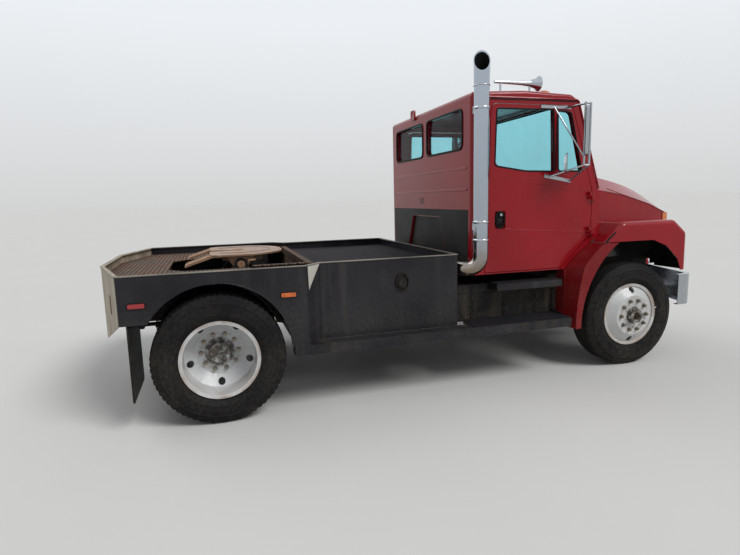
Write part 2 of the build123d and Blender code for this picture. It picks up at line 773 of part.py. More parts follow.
# Coupling plate: the greased horseshoe that a trailer's kingpin drops into
kingpin_slot_radius = 25.6
plate_thickness = 14.0
plate_front_x = coupling_x + 400.0
plate_rear_x = coupling_x - 260.0
ramp_tip_x = coupling_x - 470.0
with BuildPart() as coupling_plate:
    with BuildSketch(Plane.XY.offset(coupling_top_z - plate_thickness)):
        with BuildLine():
            Polyline(
                (plate_rear_x, 70.0),
                (plate_rear_x, plate_half_width - 60.0),
                (plate_rear_x + 60.0, plate_half_width),
                (coupling_x + 120.0, plate_half_width),
            )
            ThreePointArc(
                (coupling_x + 120.0, plate_half_width),
                (coupling_x + 330.0, 290.0),
                (plate_front_x, 0),
            )
            Polyline(
                (plate_front_x, 0),
                (coupling_x + kingpin_slot_radius, 0),
            )
            ThreePointArc(
                (coupling_x + kingpin_slot_radius, 0),
                (
                    coupling_x + kingpin_slot_radius * cos(radians(50)),
                    kingpin_slot_radius * sin(radians(50)),
                ),
                (coupling_x, kingpin_slot_radius),
            )
            Polyline(
                (coupling_x, kingpin_slot_radius),
                (coupling_x - 60.0, kingpin_slot_radius),
                (plate_rear_x, 70.0),
            )
        make_face()
        mirror(about=Plane.XZ)
    extrude(amount=plate_thickness)
    for side in sides:
        with BuildSketch(slab_plane(side.sign, plate_half_width - 30.0, 200.0)):
            with BuildLine():
                Polyline(
                    (plate_rear_x + 20.0, coupling_top_z - 6.0),
                    (plate_rear_x + 20.0, coupling_top_z - plate_thickness - 10.0),
                    (ramp_tip_x, coupling_top_z - 96.0),
                    (ramp_tip_x, coupling_top_z - 82.0),
                    close=True,
                )
            make_face()
        extrude(amount=200.0)
        with BuildSketch(slab_plane(side.sign, coupling_pivot_y - 24.0, 24.0)):
            with BuildLine():
                Polyline(
                    (coupling_x - 130.0, coupling_top_z - plate_thickness),
                    (coupling_x + 130.0, coupling_top_z - plate_thickness),
                    (coupling_x + 48.0, coupling_pivot_z - 40.0),
                    (coupling_x - 48.0, coupling_pivot_z - 40.0),
                    close=True,
                )
            make_face()
        extrude(amount=24.0)
    with BuildSketch(Plane.XY.offset(coupling_top_z - plate_thickness - 60.0)):
        with BuildLine():
            Polyline(
                (coupling_x - 150.0, 90.0),
                (coupling_x - 150.0, 220.0),
                (coupling_x + 200.0, 220.0),
                (coupling_x + 200.0, 0),
                (coupling_x + kingpin_slot_radius, 0),
            )
            ThreePointArc(
                (coupling_x + kingpin_slot_radius, 0),
                (
                    coupling_x + kingpin_slot_radius * cos(radians(50)),
                    kingpin_slot_radius * sin(radians(50)),
                ),
                (coupling_x, kingpin_slot_radius),
            )
            Polyline(
                (coupling_x, kingpin_slot_radius),
                (coupling_x - 60.0, kingpin_slot_radius),
                (coupling_x - 150.0, 90.0),
            )
        make_face()
        mirror(about=Plane.XZ)
    extrude(amount=60.0)
coupling_plate.part.label = "coupling_plate"
export_step(coupling_plate.part, "parts/coupling_plate.step")

# Side sills and steps below the cab and the bed boxes
sill_top_z = bed_skirt_z
sill_bottom_z = 470.0
sill_inner_y = 1082.0
sill_rear_x = rear_axle_x + 560.0
sill_front_x = rear_axle_x + 3075.0
step_rear_x = rear_axle_x + 2120.0
upper_step_z = 880.0
with BuildPart() as side_steps:
    for side in sides:
        box_between(
            sill_rear_x,
            sill_front_x,
            side.sign * 1148.0 - 66.0,
            side.sign * 1148.0 + 66.0,
            sill_bottom_z,
            bed_skirt_z,
        )
        box_between(
            step_rear_x,
            sill_front_x,
            side.sign * 1020.0 - 70.0,
            side.sign * 1020.0 + 70.0,
            sill_top_z - 24.0,
            sill_top_z,
        )
        box_between(
            rear_axle_x + 2400.0,
            rear_axle_x + 3080.0,
            side.sign * 985.0 - 75.0,
            side.sign * 985.0 + 75.0,
            upper_step_z - 60.0,
            upper_step_z,
        )
side_steps.part.label = "side_steps"
export_step(side_steps.part, "parts/side_steps.step")

# Battery box and air tank housing between the sills, below the cab
with BuildPart() as battery_boxes:
    for side in sides:
        box_between(
            rear_axle_x + 2080.0,
            rear_axle_x + 3060.0,
            side.sign * 685.0 - 220.0,
            side.sign * 685.0 + 220.0,
            sill_top_z,
            upper_step_z - 10.0,
        )
battery_boxes.part.label = "battery_boxes"
export_step(battery_boxes.part, "parts/battery_boxes.step")

# Mud flaps behind the rear wheels
flap_x = rear_axle_x - 620.0
with BuildPart() as mud_flaps:
    for side in sides:
        with BuildSketch(Plane.YZ.offset(flap_x)):
            with Locations((side.sign * 905.0, 560.0)):
                RectangleRounded(590.0, 640.0, 30.0)
        extrude(amount=10.0)
mud_flaps.part.label = "mud_flaps"
export_step(mud_flaps.part, "parts/mud_flaps.step")

# Exhaust: elbow below the cab's rear corner and a straight mitred stack
stack_radius = 63.5
stack_x = rear_axle_x + 2195.0
stack_y = -1130.0
crossover_x = stack_x - 127.0
elbow_z = 1040.0
stack_top_z = 2850.0
stack_mitre_z = 2750.0
stack_tip_z = 2552.0
stack_tip_flare = 6.0
stack_bore_depth = 800.0
with BuildPart() as exhaust_stack:
    with BuildLine() as stack_path:
        FilletPolyline(
            (crossover_x, -230.0, 780.0),
            (crossover_x, -230.0, elbow_z),
            (crossover_x, stack_y + 101.0, elbow_z),
            (stack_x, stack_y, elbow_z),
            (stack_x, stack_y, stack_top_z),
            radius=(115.0, 98.0, 113.0),
        )
    with BuildSketch(Plane(origin=stack_path.line @ 0, z_dir=stack_path.line % 0)):
        Circle(stack_radius)
    sweep(path=stack_path.line)
    with Locations((stack_x, stack_y, stack_tip_z)):
        Cone(
            stack_radius + 1.0,
            stack_radius + stack_tip_flare,
            stack_top_z - stack_tip_z,
            align=(Align.CENTER, Align.CENTER, Align.MIN),
        )
    with BuildSketch(Plane(origin=(stack_x, stack_y, stack_mitre_z), z_dir=(-0.6, -1.29, 1.0))):
        Circle(400.0)
    extrude(amount=300.0, mode=Mode.SUBTRACT)
    with BuildSketch(Plane.XY.offset(stack_top_z - stack_bore_depth)):
        with Locations((stack_x, stack_y)):
            Circle(stack_radius - 2.5)
    extrude(amount=stack_bore_depth + 50.0, mode=Mode.SUBTRACT)
    for bracket_z in (1400.0, 2378.0):
        box_between(
            stack_x - 20.0,
            stack_x + 20.0,
            stack_y + stack_radius - 4.0,
            -cab_half_width,
            bracket_z - 30.0,
            bracket_z + 30.0,
        )
exhaust_stack.part.label = "exhaust_stack"
export_step(exhaust_stack.part, "parts/exhaust_stack.step")


# Cab side outline and door outline, both drawn in side view
def polygon_face(points, radii=()):
    """Closed face through points; radii lists (corner index, radius)."""
    with BuildSketch() as face:
        with BuildLine():
            Polyline(*points, close=True)
        make_face()
        for index, radius in radii:
            x, y = points[index]
            fillet(face.vertices().sort_by_distance((x, y, 0))[0], radius)
    return face.sketch


door_rear_x = rear_axle_x + 2308.0
door_bottom_z = 985.0
door_points = (
    (door_rear_x, door_bottom_z),
    (rear_axle_x + 2354.0, 2440.0),
    (rear_axle_x + 3166.0, 2440.0),
    (rear_axle_x + 3406.0, pillar_foot_z),
    (rear_axle_x + 3406.0, 1288.0),
    (rear_axle_x + 3100.0, door_bottom_z),
)
door_face = polygon_face(door_points, ((1, 60.0), (2, 60.0), (3, 120.0), (4, 30.0)))
door_opening_face = offset(door_face, 6.0, kind=Kind.INTERSECTION, mode=Mode.PRIVATE)
door_glass_points = (
    (rear_axle_x + 2390.0, 1918.0),
    (rear_axle_x + 2404.0, 2402.0),
    (rear_axle_x + 2972.0, 2402.0),
    (rear_axle_x + 2992.0, 1866.0),
    (rear_axle_x + 2700.0, 1871.0),
)
door_glass_face = polygon_face(door_glass_points, ((0, 70.0), (1, 40.0)))
vent_glass_points = (
    (rear_axle_x + 3036.0, 1866.0),
    (rear_axle_x + 3016.0, 2396.0),
    (rear_axle_x + 3156.0, 2384.0),
    (rear_axle_x + 3288.0, 1866.0),
)
vent_glass_face = polygon_face(vent_glass_points, ((2, 50.0), (3, 20.0)))
cab_side_points = (
    (cab_back_x, cab_bottom_z),
    (cab_back_x, gutter_z),
    (pillar_head_x, gutter_z),
    (pillar_foot_x, pillar_foot_z),
    (cowl_x, pillar_foot_z - 10.0),
    (cowl_x, 1236.0),
    (rear_axle_x + 3440.0, 1236.0),
    (rear_axle_x + 3150.0, cab_bottom_z),
)
swage_fall = 0.072
swage_rear_z = 1391.0
swage_depth = 420.0
swage_inset = 13.0
with BuildPart() as swage_wedges:
    with BuildSketch(
        Plane(
            origin=(cab_back_x - 20.0, 0, swage_rear_z),
            x_dir=(0, 1, 0),
            z_dir=(1, 0, -swage_fall),
        )
    ):
        with BuildLine():
            Polyline(
                (cab_half_width, 0),
                (cab_half_width + 40.0, 0),
                (cab_half_width + 40.0, -swage_depth),
                (cab_half_width - swage_inset, -swage_depth),
                close=True,
            )
        make_face()
        mirror(about=Plane.YZ)
    extrude(amount=1500.0)
rear_corner_radius = 34.0
hinge_heights = (1318.0, 1640.0)
hinge_half = 34.0
hinge_leaf = 31.0
barrel_radius = 9.0
with BuildPart() as cab_sides:
    for side in sides:
        with BuildSketch(slab_plane(side.sign, cab_half_width, cab_wall)):
            add(polygon_face(cab_side_points))
            add(door_opening_face, mode=Mode.SUBTRACT)
        extrude(amount=cab_wall)
    rear_edges = cab_sides.edges().filter_by(Axis.Z).group_by(Axis.X)[0].sort_by(Axis.Y)
    fillet((rear_edges[0], rear_edges[-1]), rear_corner_radius)
    add(swage_wedges.part, mode=Mode.SUBTRACT)
    for side in sides:
        for hinge_z in hinge_heights:
            with Locations((door_hinge_x, side.sign * door_hinge_y, hinge_z - hinge_half)):
                Cylinder(barrel_radius, hinge_leaf, align=(Align.CENTER, Align.CENTER, Align.MIN))
            box_between(
                door_hinge_x,
                door_hinge_x + 52.0,
                side.sign * door_hinge_y - barrel_radius / 2,
                side.sign * door_hinge_y + barrel_radius / 2,
                hinge_z - hinge_half,
                hinge_z - hinge_half + hinge_leaf,
            )
            box_between(
                door_hinge_x + 28.0,
                door_hinge_x + 52.0,
                min(side.sign * door_hinge_y, side.sign * (cab_half_width - swage_inset)),
                max(side.sign * door_hinge_y, side.sign * (cab_half_width - swage_inset)),
                hinge_z - hinge_half,
                hinge_z - hinge_half + hinge_leaf,
            )
cab_sides.part.label = "cab_sides"
export_step(cab_sides.part, "parts/cab_sides.step")

# Cab back wall with two windows
cab_inner_half = cab_half_width - cab_wall
back_window_inner_y = 55.0
back_window_outer_y = 845.0
back_window_z0 = 2075.0
back_window_z1 = 2420.0
back_window_mid_y = (back_window_inner_y + back_window_outer_y) / 2
back_window_mid_z = (back_window_z0 + back_window_z1) / 2
back_window_width = back_window_outer_y - back_window_inner_y
back_window_height = back_window_z1 - back_window_z0
recess_foot_half = 560.0
recess_head_half = 345.0
recess_top_z = 1470.0
recess_depth = 26.0
with BuildPart() as cab_back:
    with BuildSketch(Plane.YZ.offset(cab_back_x)):
        with Locations((0, (cab_bottom_z + gutter_z) / 2)):
            Rectangle(2 * cab_inner_half, gutter_z - cab_bottom_z)
        for side in sides:
            with Locations((side.sign * back_window_mid_y, back_window_mid_z)):
                RectangleRounded(back_window_width, back_window_height, 60.0, mode=Mode.SUBTRACT)
    extrude(amount=cab_wall)
    with BuildSketch(Plane.YZ.offset(cab_back_x)):
        with BuildLine():
            Polyline(
                (recess_foot_half, cab_bottom_z - 1.0),
                (recess_head_half, recess_top_z),
                (-recess_head_half, recess_top_z),
                (-recess_foot_half, cab_bottom_z - 1.0),
                close=True,
            )
        make_face()
    extrude(amount=recess_depth, mode=Mode.SUBTRACT)
cab_back.part.label = "cab_back"
export_step(cab_back.part, "parts/cab_back.step")

# Cab floor with the engine tunnel and the two seat pedestals
floor_front_x = cowl_x - 40.0
tunnel_half = 300.0
tunnel_top_z = 1290.0
tunnel_rear_x = rear_axle_x + 2900.0
seat_x = rear_axle_x + 2600.0
seat_y = 480.0
with BuildPart() as cab_floor:
    box_between(
        cab_back_x + cab_wall,
        floor_front_x,
        -cab_inner_half,
        cab_inner_half,
        cab_floor_z - 30.0,
        cab_floor_z,
    )
    box_between(tunnel_rear_x, floor_front_x, -tunnel_half, tunnel_half, cab_floor_z, tunnel_top_z)
    box_between(
        tunnel_rear_x + 20.0,
        floor_front_x + 1.0,
        -tunnel_half + 20.0,
        tunnel_half - 20.0,
        cab_floor_z - 31.0,
        tunnel_top_z - 20.0,
        mode=Mode.SUBTRACT,
    )
    for side in sides:
        box_between(
            seat_x - 190.0,
            seat_x + 190.0,
            side.sign * seat_y - 170.0,
            side.sign * seat_y + 170.0,
            cab_floor_z,
            cab_floor_z + 300.0,
        )
cab_floor.part.label = "cab_floor"
export_step(cab_floor.part, "parts/cab_floor.step")

# Cab front: bulkhead over the tunnel, windscreen frame and cowl
with BuildPart() as cab_front:
    with BuildSketch(Plane.YZ.offset(floor_front_x)):
        with BuildLine():
            Polyline(
                (-cab_inner_half, cab_floor_z - 30.0),
                (-cab_inner_half, pillar_foot_z - 10.0),
                (cab_inner_half, pillar_foot_z - 10.0),
                (cab_inner_half, cab_floor_z - 30.0),
                (tunnel_half, cab_floor_z - 30.0),
                (tunnel_half, tunnel_top_z),
                (-tunnel_half, tunnel_top_z),
                (-tunnel_half, cab_floor_z - 30.0),
                close=True,
            )
        make_face()
    extrude(amount=40.0)
    with BuildSketch(side_plane(cab_inner_half)):
        with BuildLine():
            Polyline(
                (floor_front_x, pillar_foot_z - 10.0),
                (cowl_x, pillar_foot_z - 10.0),
                (cowl_x, pillar_foot_z + 90.0),
                (cowl_x - 12.0, pillar_foot_z + 90.0),
                (pillar_foot_x, pillar_foot_z),
                (floor_front_x, pillar_foot_z + 20.0),
                close=True,
            )
        make_face()
    extrude(amount=2 * cab_inner_half)
cab_front.part.label = "cab_front"
export_step(cab_front.part, "parts/cab_front.step")

# Cab roof: crowned shell with a rounded edge
roof_skin = 30.0


def roof_profile(inset):
    """Side view of the roof, drawn in by inset at the top and the ends."""
    with BuildSketch() as face:
        with BuildLine():
            FilletPolyline(
                (cab_back_x + inset, gutter_z),
                (cab_back_x + inset, gutter_z + 46.0 - inset / 2),
                (cab_back_x + 520.0, roof_top_z - inset),
                (pillar_head_x - 60.0, roof_top_z - 18.0 - inset),
                (pillar_head_x + 30.0 - inset, gutter_z),
                radius=45.0 - inset / 2,
            )
            Line((pillar_head_x + 30.0 - inset, gutter_z), (cab_back_x + inset, gutter_z))
        make_face()
    return face.sketch


with BuildPart() as cab_roof:
    with BuildSketch(side_plane(cab_half_width)):
        add(roof_profile(0.0))
    extrude(amount=2 * cab_half_width)
    side_faces = (cab_roof.faces().sort_by(Axis.Y)[0], cab_roof.faces().sort_by(Axis.Y)[-1])
    outline_edges = side_faces[0].edges() + side_faces[1].edges()
    rounded_edges = outline_edges.filter_by(lambda edge: edge.center().Z > gutter_z + 1.0)
    fillet(rounded_edges, rear_corner_radius)
    with BuildSketch(side_plane(cab_half_width - roof_skin)):
        add(roof_profile(roof_skin))
    extrude(amount=2 * (cab_half_width - roof_skin), mode=Mode.SUBTRACT)
cab_roof.part.label = "cab_roof"
export_step(cab_roof.part, "parts/cab_roof.step")

# Fixed cab glass: windscreen and two back windows
screen_thickness = 6.0
screen_half = cab_inner_half - 2.0
screen_height = hypot(pillar_head_x - pillar_foot_x, pillar_head_z - pillar_foot_z)
screen_run = Vector(pillar_head_x - pillar_foot_x, 0, pillar_head_z - pillar_foot_z)
with BuildPart() as cab_glass:
    with BuildSketch(
        Plane(
            origin=(pillar_foot_x - 8.0, 0, pillar_foot_z + 16.0),
            x_dir=(0, 1, 0),
            z_dir=(screen_run.Z, 0, -screen_run.X),
        )
    ):
        with Locations((0, screen_height / 2)):
            RectangleRounded(2 * screen_half, screen_height - 30.0, 40.0)
    extrude(amount=-screen_thickness)
    with BuildSketch(Plane.YZ.offset(cab_back_x + 20.0)):
        for side in sides:
            with Locations((side.sign * back_window_mid_y, back_window_mid_z)):
                RectangleRounded(back_window_width, back_window_height, 60.0)
    extrude(amount=screen_thickness)
cab_glass.part.label = "cab_glass"
export_step(cab_glass.part, "parts/cab_glass.step")

# Dashboard with the steering column and wheel
wheel_x = rear_axle_x + 3010.0
wheel_z = 1590.0
column_tilt = 38.0
with BuildPart() as dashboard:
    with BuildSketch(side_plane(cab_inner_half - 3.0)):
        with BuildLine():
            Polyline(
                (floor_front_x, 1420.0),
                (floor_front_x, pillar_foot_z - 12.0),
                (floor_front_x - 60.0, pillar_foot_z + 10.0),
                (rear_axle_x + 3210.0, 1680.0),
                (rear_axle_x + 3170.0, 1500.0),
                (rear_axle_x + 3240.0, 1420.0),
                close=True,
            )
        make_face()
    extrude(amount=2 * (cab_inner_half - 3.0))
    with BuildSketch(
        Plane(
            origin=(wheel_x, seat_y, wheel_z),
            z_dir=(cos(radians(column_tilt)), 0, -sin(radians(column_tilt))),
        )
    ):
        Circle(24.0)
    extrude(amount=300.0)
    with Locations(
        Plane(
            origin=(wheel_x, seat_y, wheel_z),
            z_dir=(cos(radians(column_tilt)), 0, -sin(radians(column_tilt))),
        )
    ):
        Torus(215.0, 15.0)
        Box(420.0, 34.0, 16.0)
        Cylinder(50.0, 40.0)
dashboard.part.label = "dashboard"
export_step(dashboard.part, "parts/dashboard.step")

# Seat cushions and backrests
seat_width = 500.0
cushion_z = cab_floor_z + 302.0
with BuildPart() as seats:
    for side in sides:
        with BuildSketch(Plane.XY.offset(cushion_z)):
            with Locations((seat_x + 10.0, side.sign * seat_y)):
                RectangleRounded(480.0, seat_width, 60.0)
        extrude(amount=130.0)
        with BuildSketch(slab_plane(side.sign, seat_y + seat_width / 2 - 10.0, seat_width - 20.0)):
            with BuildLine():
                FilletPolyline(
                    (seat_x - 170.0, cushion_z + 131.0),
                    (seat_x - 300.0, cushion_z + 131.0),
                    (seat_x - 360.0, cushion_z + 700.0),
                    (seat_x - 250.0, cushion_z + 700.0),
                    (seat_x - 170.0, cushion_z + 131.0),
                    radius=30.0,
                )
            make_face()
        extrude(amount=seat_width - 20.0)
seats.part.label = "seats"
export_step(seats.part, "parts/seats.step")

# Doors, their glass and their mirrors
MirrorTube = namedtuple("MirrorTube", "start end radius")
MirrorPlate = namedtuple("MirrorPlate", "points thickness")
mirror_y = 1235.0
mirror_foot_y = cab_half_width + 7.0
mirror_rear_x = rear_axle_x + 3131.0
mirror_front_x = rear_axle_x + 3183.0
mirror_top_z = 2428.0
mirror_foot_z = 1905.0
mirror_tubes = (
    MirrorTube((mirror_rear_x, mirror_y, mirror_foot_z), (mirror_rear_x, mirror_y, mirror_top_z), 10.0),
    MirrorTube((mirror_front_x, mirror_y, mirror_foot_z), (mirror_front_x, mirror_y, mirror_top_z), 10.0),
    MirrorTube((mirror_rear_x, mirror_y, mirror_foot_z), (mirror_front_x, mirror_y, mirror_foot_z), 10.0),
    MirrorTube((mirror_rear_x, mirror_y, mirror_top_z), (mirror_front_x, mirror_y, mirror_top_z), 10.0),
    MirrorTube((rear_axle_x + 3110.0, mirror_foot_y, 2422.0), (rear_axle_x + 3157.0, mirror_y, mirror_top_z), 9.0),
    MirrorTube((rear_axle_x + 2972.0, mirror_foot_y, 2422.0), (mirror_rear_x, mirror_y, 1974.0), 7.0),
    MirrorTube((rear_axle_x + 2939.0, mirror_foot_y, 1818.0), (mirror_rear_x, mirror_y, mirror_foot_z), 8.0),
    MirrorTube((rear_axle_x + 3150.0, mirror_foot_y, 1779.0), (mirror_front_x, mirror_y, mirror_foot_z), 8.0),
    MirrorTube((rear_axle_x + 3020.0, 1120.0, 1862.0), (rear_axle_x + 3020.0, 1150.0, 1900.0), 6.0),
)
mirror_plates = (
    MirrorPlate(
        (
            (rear_axle_x + 2838.0, 2413.0),
            (rear_axle_x + 3148.0, 2409.0),
            (rear_axle_x + 3148.0, 2433.0),
            (rear_axle_x + 2838.0, 2437.0),
        ),
        7.0,
    ),
    MirrorPlate(
        (
            (rear_axle_x + 2887.0, 1812.0),
            (rear_axle_x + 3164.0, 1762.0),
            (rear_axle_x + 3164.0, 1790.0),
            (rear_axle_x + 2887.0, 1846.0),
        ),
        7.0,
    ),
)
head_turn = (0.637, 0.771)
mirror_head_x = (mirror_rear_x + mirror_front_x) / 2
mirror_head_z0 = 1985.0
mirror_head_z1 = 2400.0
mirror_head_width = 170.0
mirror_head_depth = 26.0
spot_mirror_x = rear_axle_x + 3020.0
spot_mirror_y = 1150.0
spot_mirror_z = 1925.0
spot_mirror_radius = 95.0
glass_inset = 20.0
for side in sides:
    with BuildPart() as door:
        with BuildSketch(slab_plane(side.sign, cab_half_width, cab_wall)):
            add(door_face)
            add(door_glass_face, mode=Mode.SUBTRACT)
            add(vent_glass_face, mode=Mode.SUBTRACT)
        extrude(amount=cab_wall)
        with BuildSketch(slab_plane(side.sign, cab_half_width, 22.0)):
            with Locations((rear_axle_x + 2448.0, 1448.0)):
                RectangleRounded(108.0, 160.0, 22.0)
        extrude(amount=22.0, mode=Mode.SUBTRACT)
        add(swage_wedges.part, mode=Mode.SUBTRACT)
        for hinge_z in hinge_heights:
            with Locations((door_hinge_x, side.sign * door_hinge_y, hinge_z + hinge_half - hinge_leaf)):
                Cylinder(barrel_radius, hinge_leaf, align=(Align.CENTER, Align.CENTER, Align.MIN))
            box_between(
                door_hinge_x - 30.0,
                door_hinge_x,
                side.sign * door_hinge_y - barrel_radius / 2,
                side.sign * door_hinge_y + barrel_radius / 2,
                hinge_z + hinge_half - hinge_leaf,
                hinge_z + hinge_half,
            )
            box_between(
                door_hinge_x - 30.0,
                door_hinge_x - 12.0,
                min(side.sign * door_hinge_y, side.sign * (cab_half_width - swage_inset)),
                max(side.sign * door_hinge_y, side.sign * (cab_half_width - swage_inset)),
                hinge_z + hinge_half - hinge_leaf,
                hinge_z + hinge_half,
            )
    door.part.label = f"door_{side.name}"
    export_step(door.part, f"parts/door_{side.name}.step")

    with BuildPart() as door_glass:
        with BuildSketch(slab_plane(side.sign, cab_half_width - glass_inset, 5.0)):
            add(door_glass_face)
            add(vent_glass_face)
        extrude(amount=5.0)
    door_glass.part.label = f"door_glass_{side.name}"
    export_step(door_glass.part, f"parts/door_glass_{side.name}.step")

    with BuildPart() as door_mirror:
        for tube in mirror_tubes:
            tube_start = Vector(tube.start[0], side.sign * tube.start[1], tube.start[2])
            tube_end = Vector(tube.end[0], side.sign * tube.end[1], tube.end[2])
            with BuildSketch(Plane(origin=tube_start, z_dir=tube_end - tube_start)):
                Circle(tube.radius)
            extrude(amount=(tube_end - tube_start).length)
        for plate in mirror_plates:
            with BuildSketch(slab_plane(side.sign, cab_half_width + plate.thickness, plate.thickness)):
                with BuildLine():
                    Polyline(*plate.points, close=True)
                make_face()
            extrude(amount=plate.thickness)
        head_across = Vector(head_turn[0], side.sign * -head_turn[1], 0)
        with BuildSketch(
            Plane(
                origin=(mirror_head_x, side.sign * mirror_y, (mirror_head_z0 + mirror_head_z1) / 2),
                x_dir=head_across,
                z_dir=head_across.cross(Vector(0, 0, 1)),
            )
        ):
            RectangleRounded(mirror_head_width, mirror_head_z1 - mirror_head_z0, 30.0)
        extrude(amount=mirror_head_depth / 2, both=True)
        with BuildSketch(
            Plane(
                origin=(spot_mirror_x, side.sign * spot_mirror_y, spot_mirror_z),
                x_dir=head_across,
                z_dir=head_across.cross(Vector(0, 0, 1)),
            )
        ):
            Circle(spot_mirror_radius)
        extrude(amount=7.0, both=True)
    door_mirror.part.label = f"door_mirror_{side.name}"
    export_step(door_mirror.part, f"parts/door_mirror_{side.name}.step")

# Hood with its front fenders, one tilting shell
hood_rear_x = cowl_x + 12.0
hood_front_half = 770.0
hood_nose_x = rear_axle_x + 4640.0
hood_bottom_z = 930.0
hood_skin = 8.0
fender_outer_y = 1180.0
fender_inner_y = 800.0
fender_depth = fender_outer_y - fender_inner_y
fender_round = 46.0


HoodSection = namedtuple("HoodSection", "x top_z top_half crease_z crease_half")
hood_sections = (
    HoodSection(hood_rear_x, 1848.0, 700.0, 1695.0, 940.0),
    HoodSection(rear_axle_x + 3880.0, 1785.0, 670.0, 1638.0, 885.0),
    HoodSection(rear_axle_x + 4260.0, 1676.0, 620.0, 1540.0, 825.0),
    HoodSection(hood_nose_x, 1486.0, 540.0, 1398.0, 760.0),
)


def hood_core(inset):
    """Closed block of the hood's middle, drawn in by inset."""
    with BuildPart() as core:
        for section in hood_sections:
            with BuildSketch(Plane.YZ.offset(section.x)):
                with BuildLine():
                    Polyline(
                        (0, hood_bottom_z),
                        (section.crease_half - inset, hood_bottom_z),
                        (section.crease_half - inset, section.crease_z - inset / 2),
                        (section.top_half - inset / 2, section.top_z - inset),
                        (0, section.top_z - inset),
                        (0, hood_bottom_z),
                    )
                make_face()
                mirror(about=Plane.YZ)
        loft()
        with BuildSketch(side_plane(1000.0)):
            with BuildLine():
                Polyline(
                    (hood_rear_x, 2000.0),
                    (rear_axle_x + 4540.0 - inset, 2000.0),
                    (rear_axle_x + 4540.0 - inset, 1532.0 - inset / 2),
                    (hood_nose_x - 20.0 - inset, 1420.0 - inset / 2),
                    (hood_nose_x - inset, hood_bottom_z),
                    (hood_rear_x, hood_bottom_z),
                    close=True,
                )
            make_face()
        extrude(amount=2000.0, mode=Mode.INTERSECT)
        with BuildSketch(Plane.XY.offset(hood_bottom_z - 10.0)):
            with BuildLine():
                Polyline(
                    (hood_rear_x, 0),
                    (hood_rear_x, 1000.0),
                    (rear_axle_x + 4540.0 - inset, 1000.0),
                    (rear_axle_x + 4540.0 - inset, hood_front_half),
                    (hood_nose_x - inset, 470.0),
                    (hood_nose_x - inset, 0),
                    (hood_rear_x, 0),
                )
            make_face()
            mirror(about=Plane.XZ)
        extrude(amount=1200.0, mode=Mode.INTERSECT)
    return core.part


fender_arch_points = (
    (rear_axle_x + 3460.0, 1212.0),
    (rear_axle_x + 3990.0, 1212.0),
    (rear_axle_x + 4150.0, 1150.0),
    (rear_axle_x + 4290.0, 1020.0),
    (rear_axle_x + 4339.0, 905.0),
)


def fender_face(inset):
    """Side view of a fender, its outer edge drawn in by inset."""
    with BuildSketch() as face:
        with BuildLine():
            FilletPolyline(
                (rear_axle_x + 3434.0 + 1.4 * inset, 1212.0),
                (rear_axle_x + 3640.0 + 0.5 * inset, 1393.0 - inset),
                (rear_axle_x + 4250.0, 1393.0 - inset),
                (rear_axle_x + 4400.0 - inset, 1270.0 - inset),
                (rear_axle_x + 4405.0 - inset, 905.0),
                radius=70.0,
            )
            Polyline((rear_axle_x + 4405.0 - inset, 905.0), (rear_axle_x + 4339.0, 905.0))
            Polyline(*reversed(fender_arch_points))
            Line(fender_arch_points[0], (rear_axle_x + 3434.0 + 1.4 * inset, 1212.0))
        make_face()
    return face.sketch


def fender_block(sign, inset):
    """Solid fender with its outer edge rounded, drawn in by inset."""
    with BuildPart() as block:
        with BuildSketch(slab_plane(sign, fender_outer_y - inset, fender_depth)):
            add(fender_face(inset))
        extrude(amount=fender_depth)
        outer_face = block.faces().sort_by(Axis.Y)[-1 if sign > 0 else 0]
        rounded_edges = outer_face.edges().filter_by(
            lambda edge: edge.center().Z > 1215.0 or edge.center().X > rear_axle_x + 4390.0 - inset
        )
        fillet(rounded_edges, fender_round - inset)
    return block.part


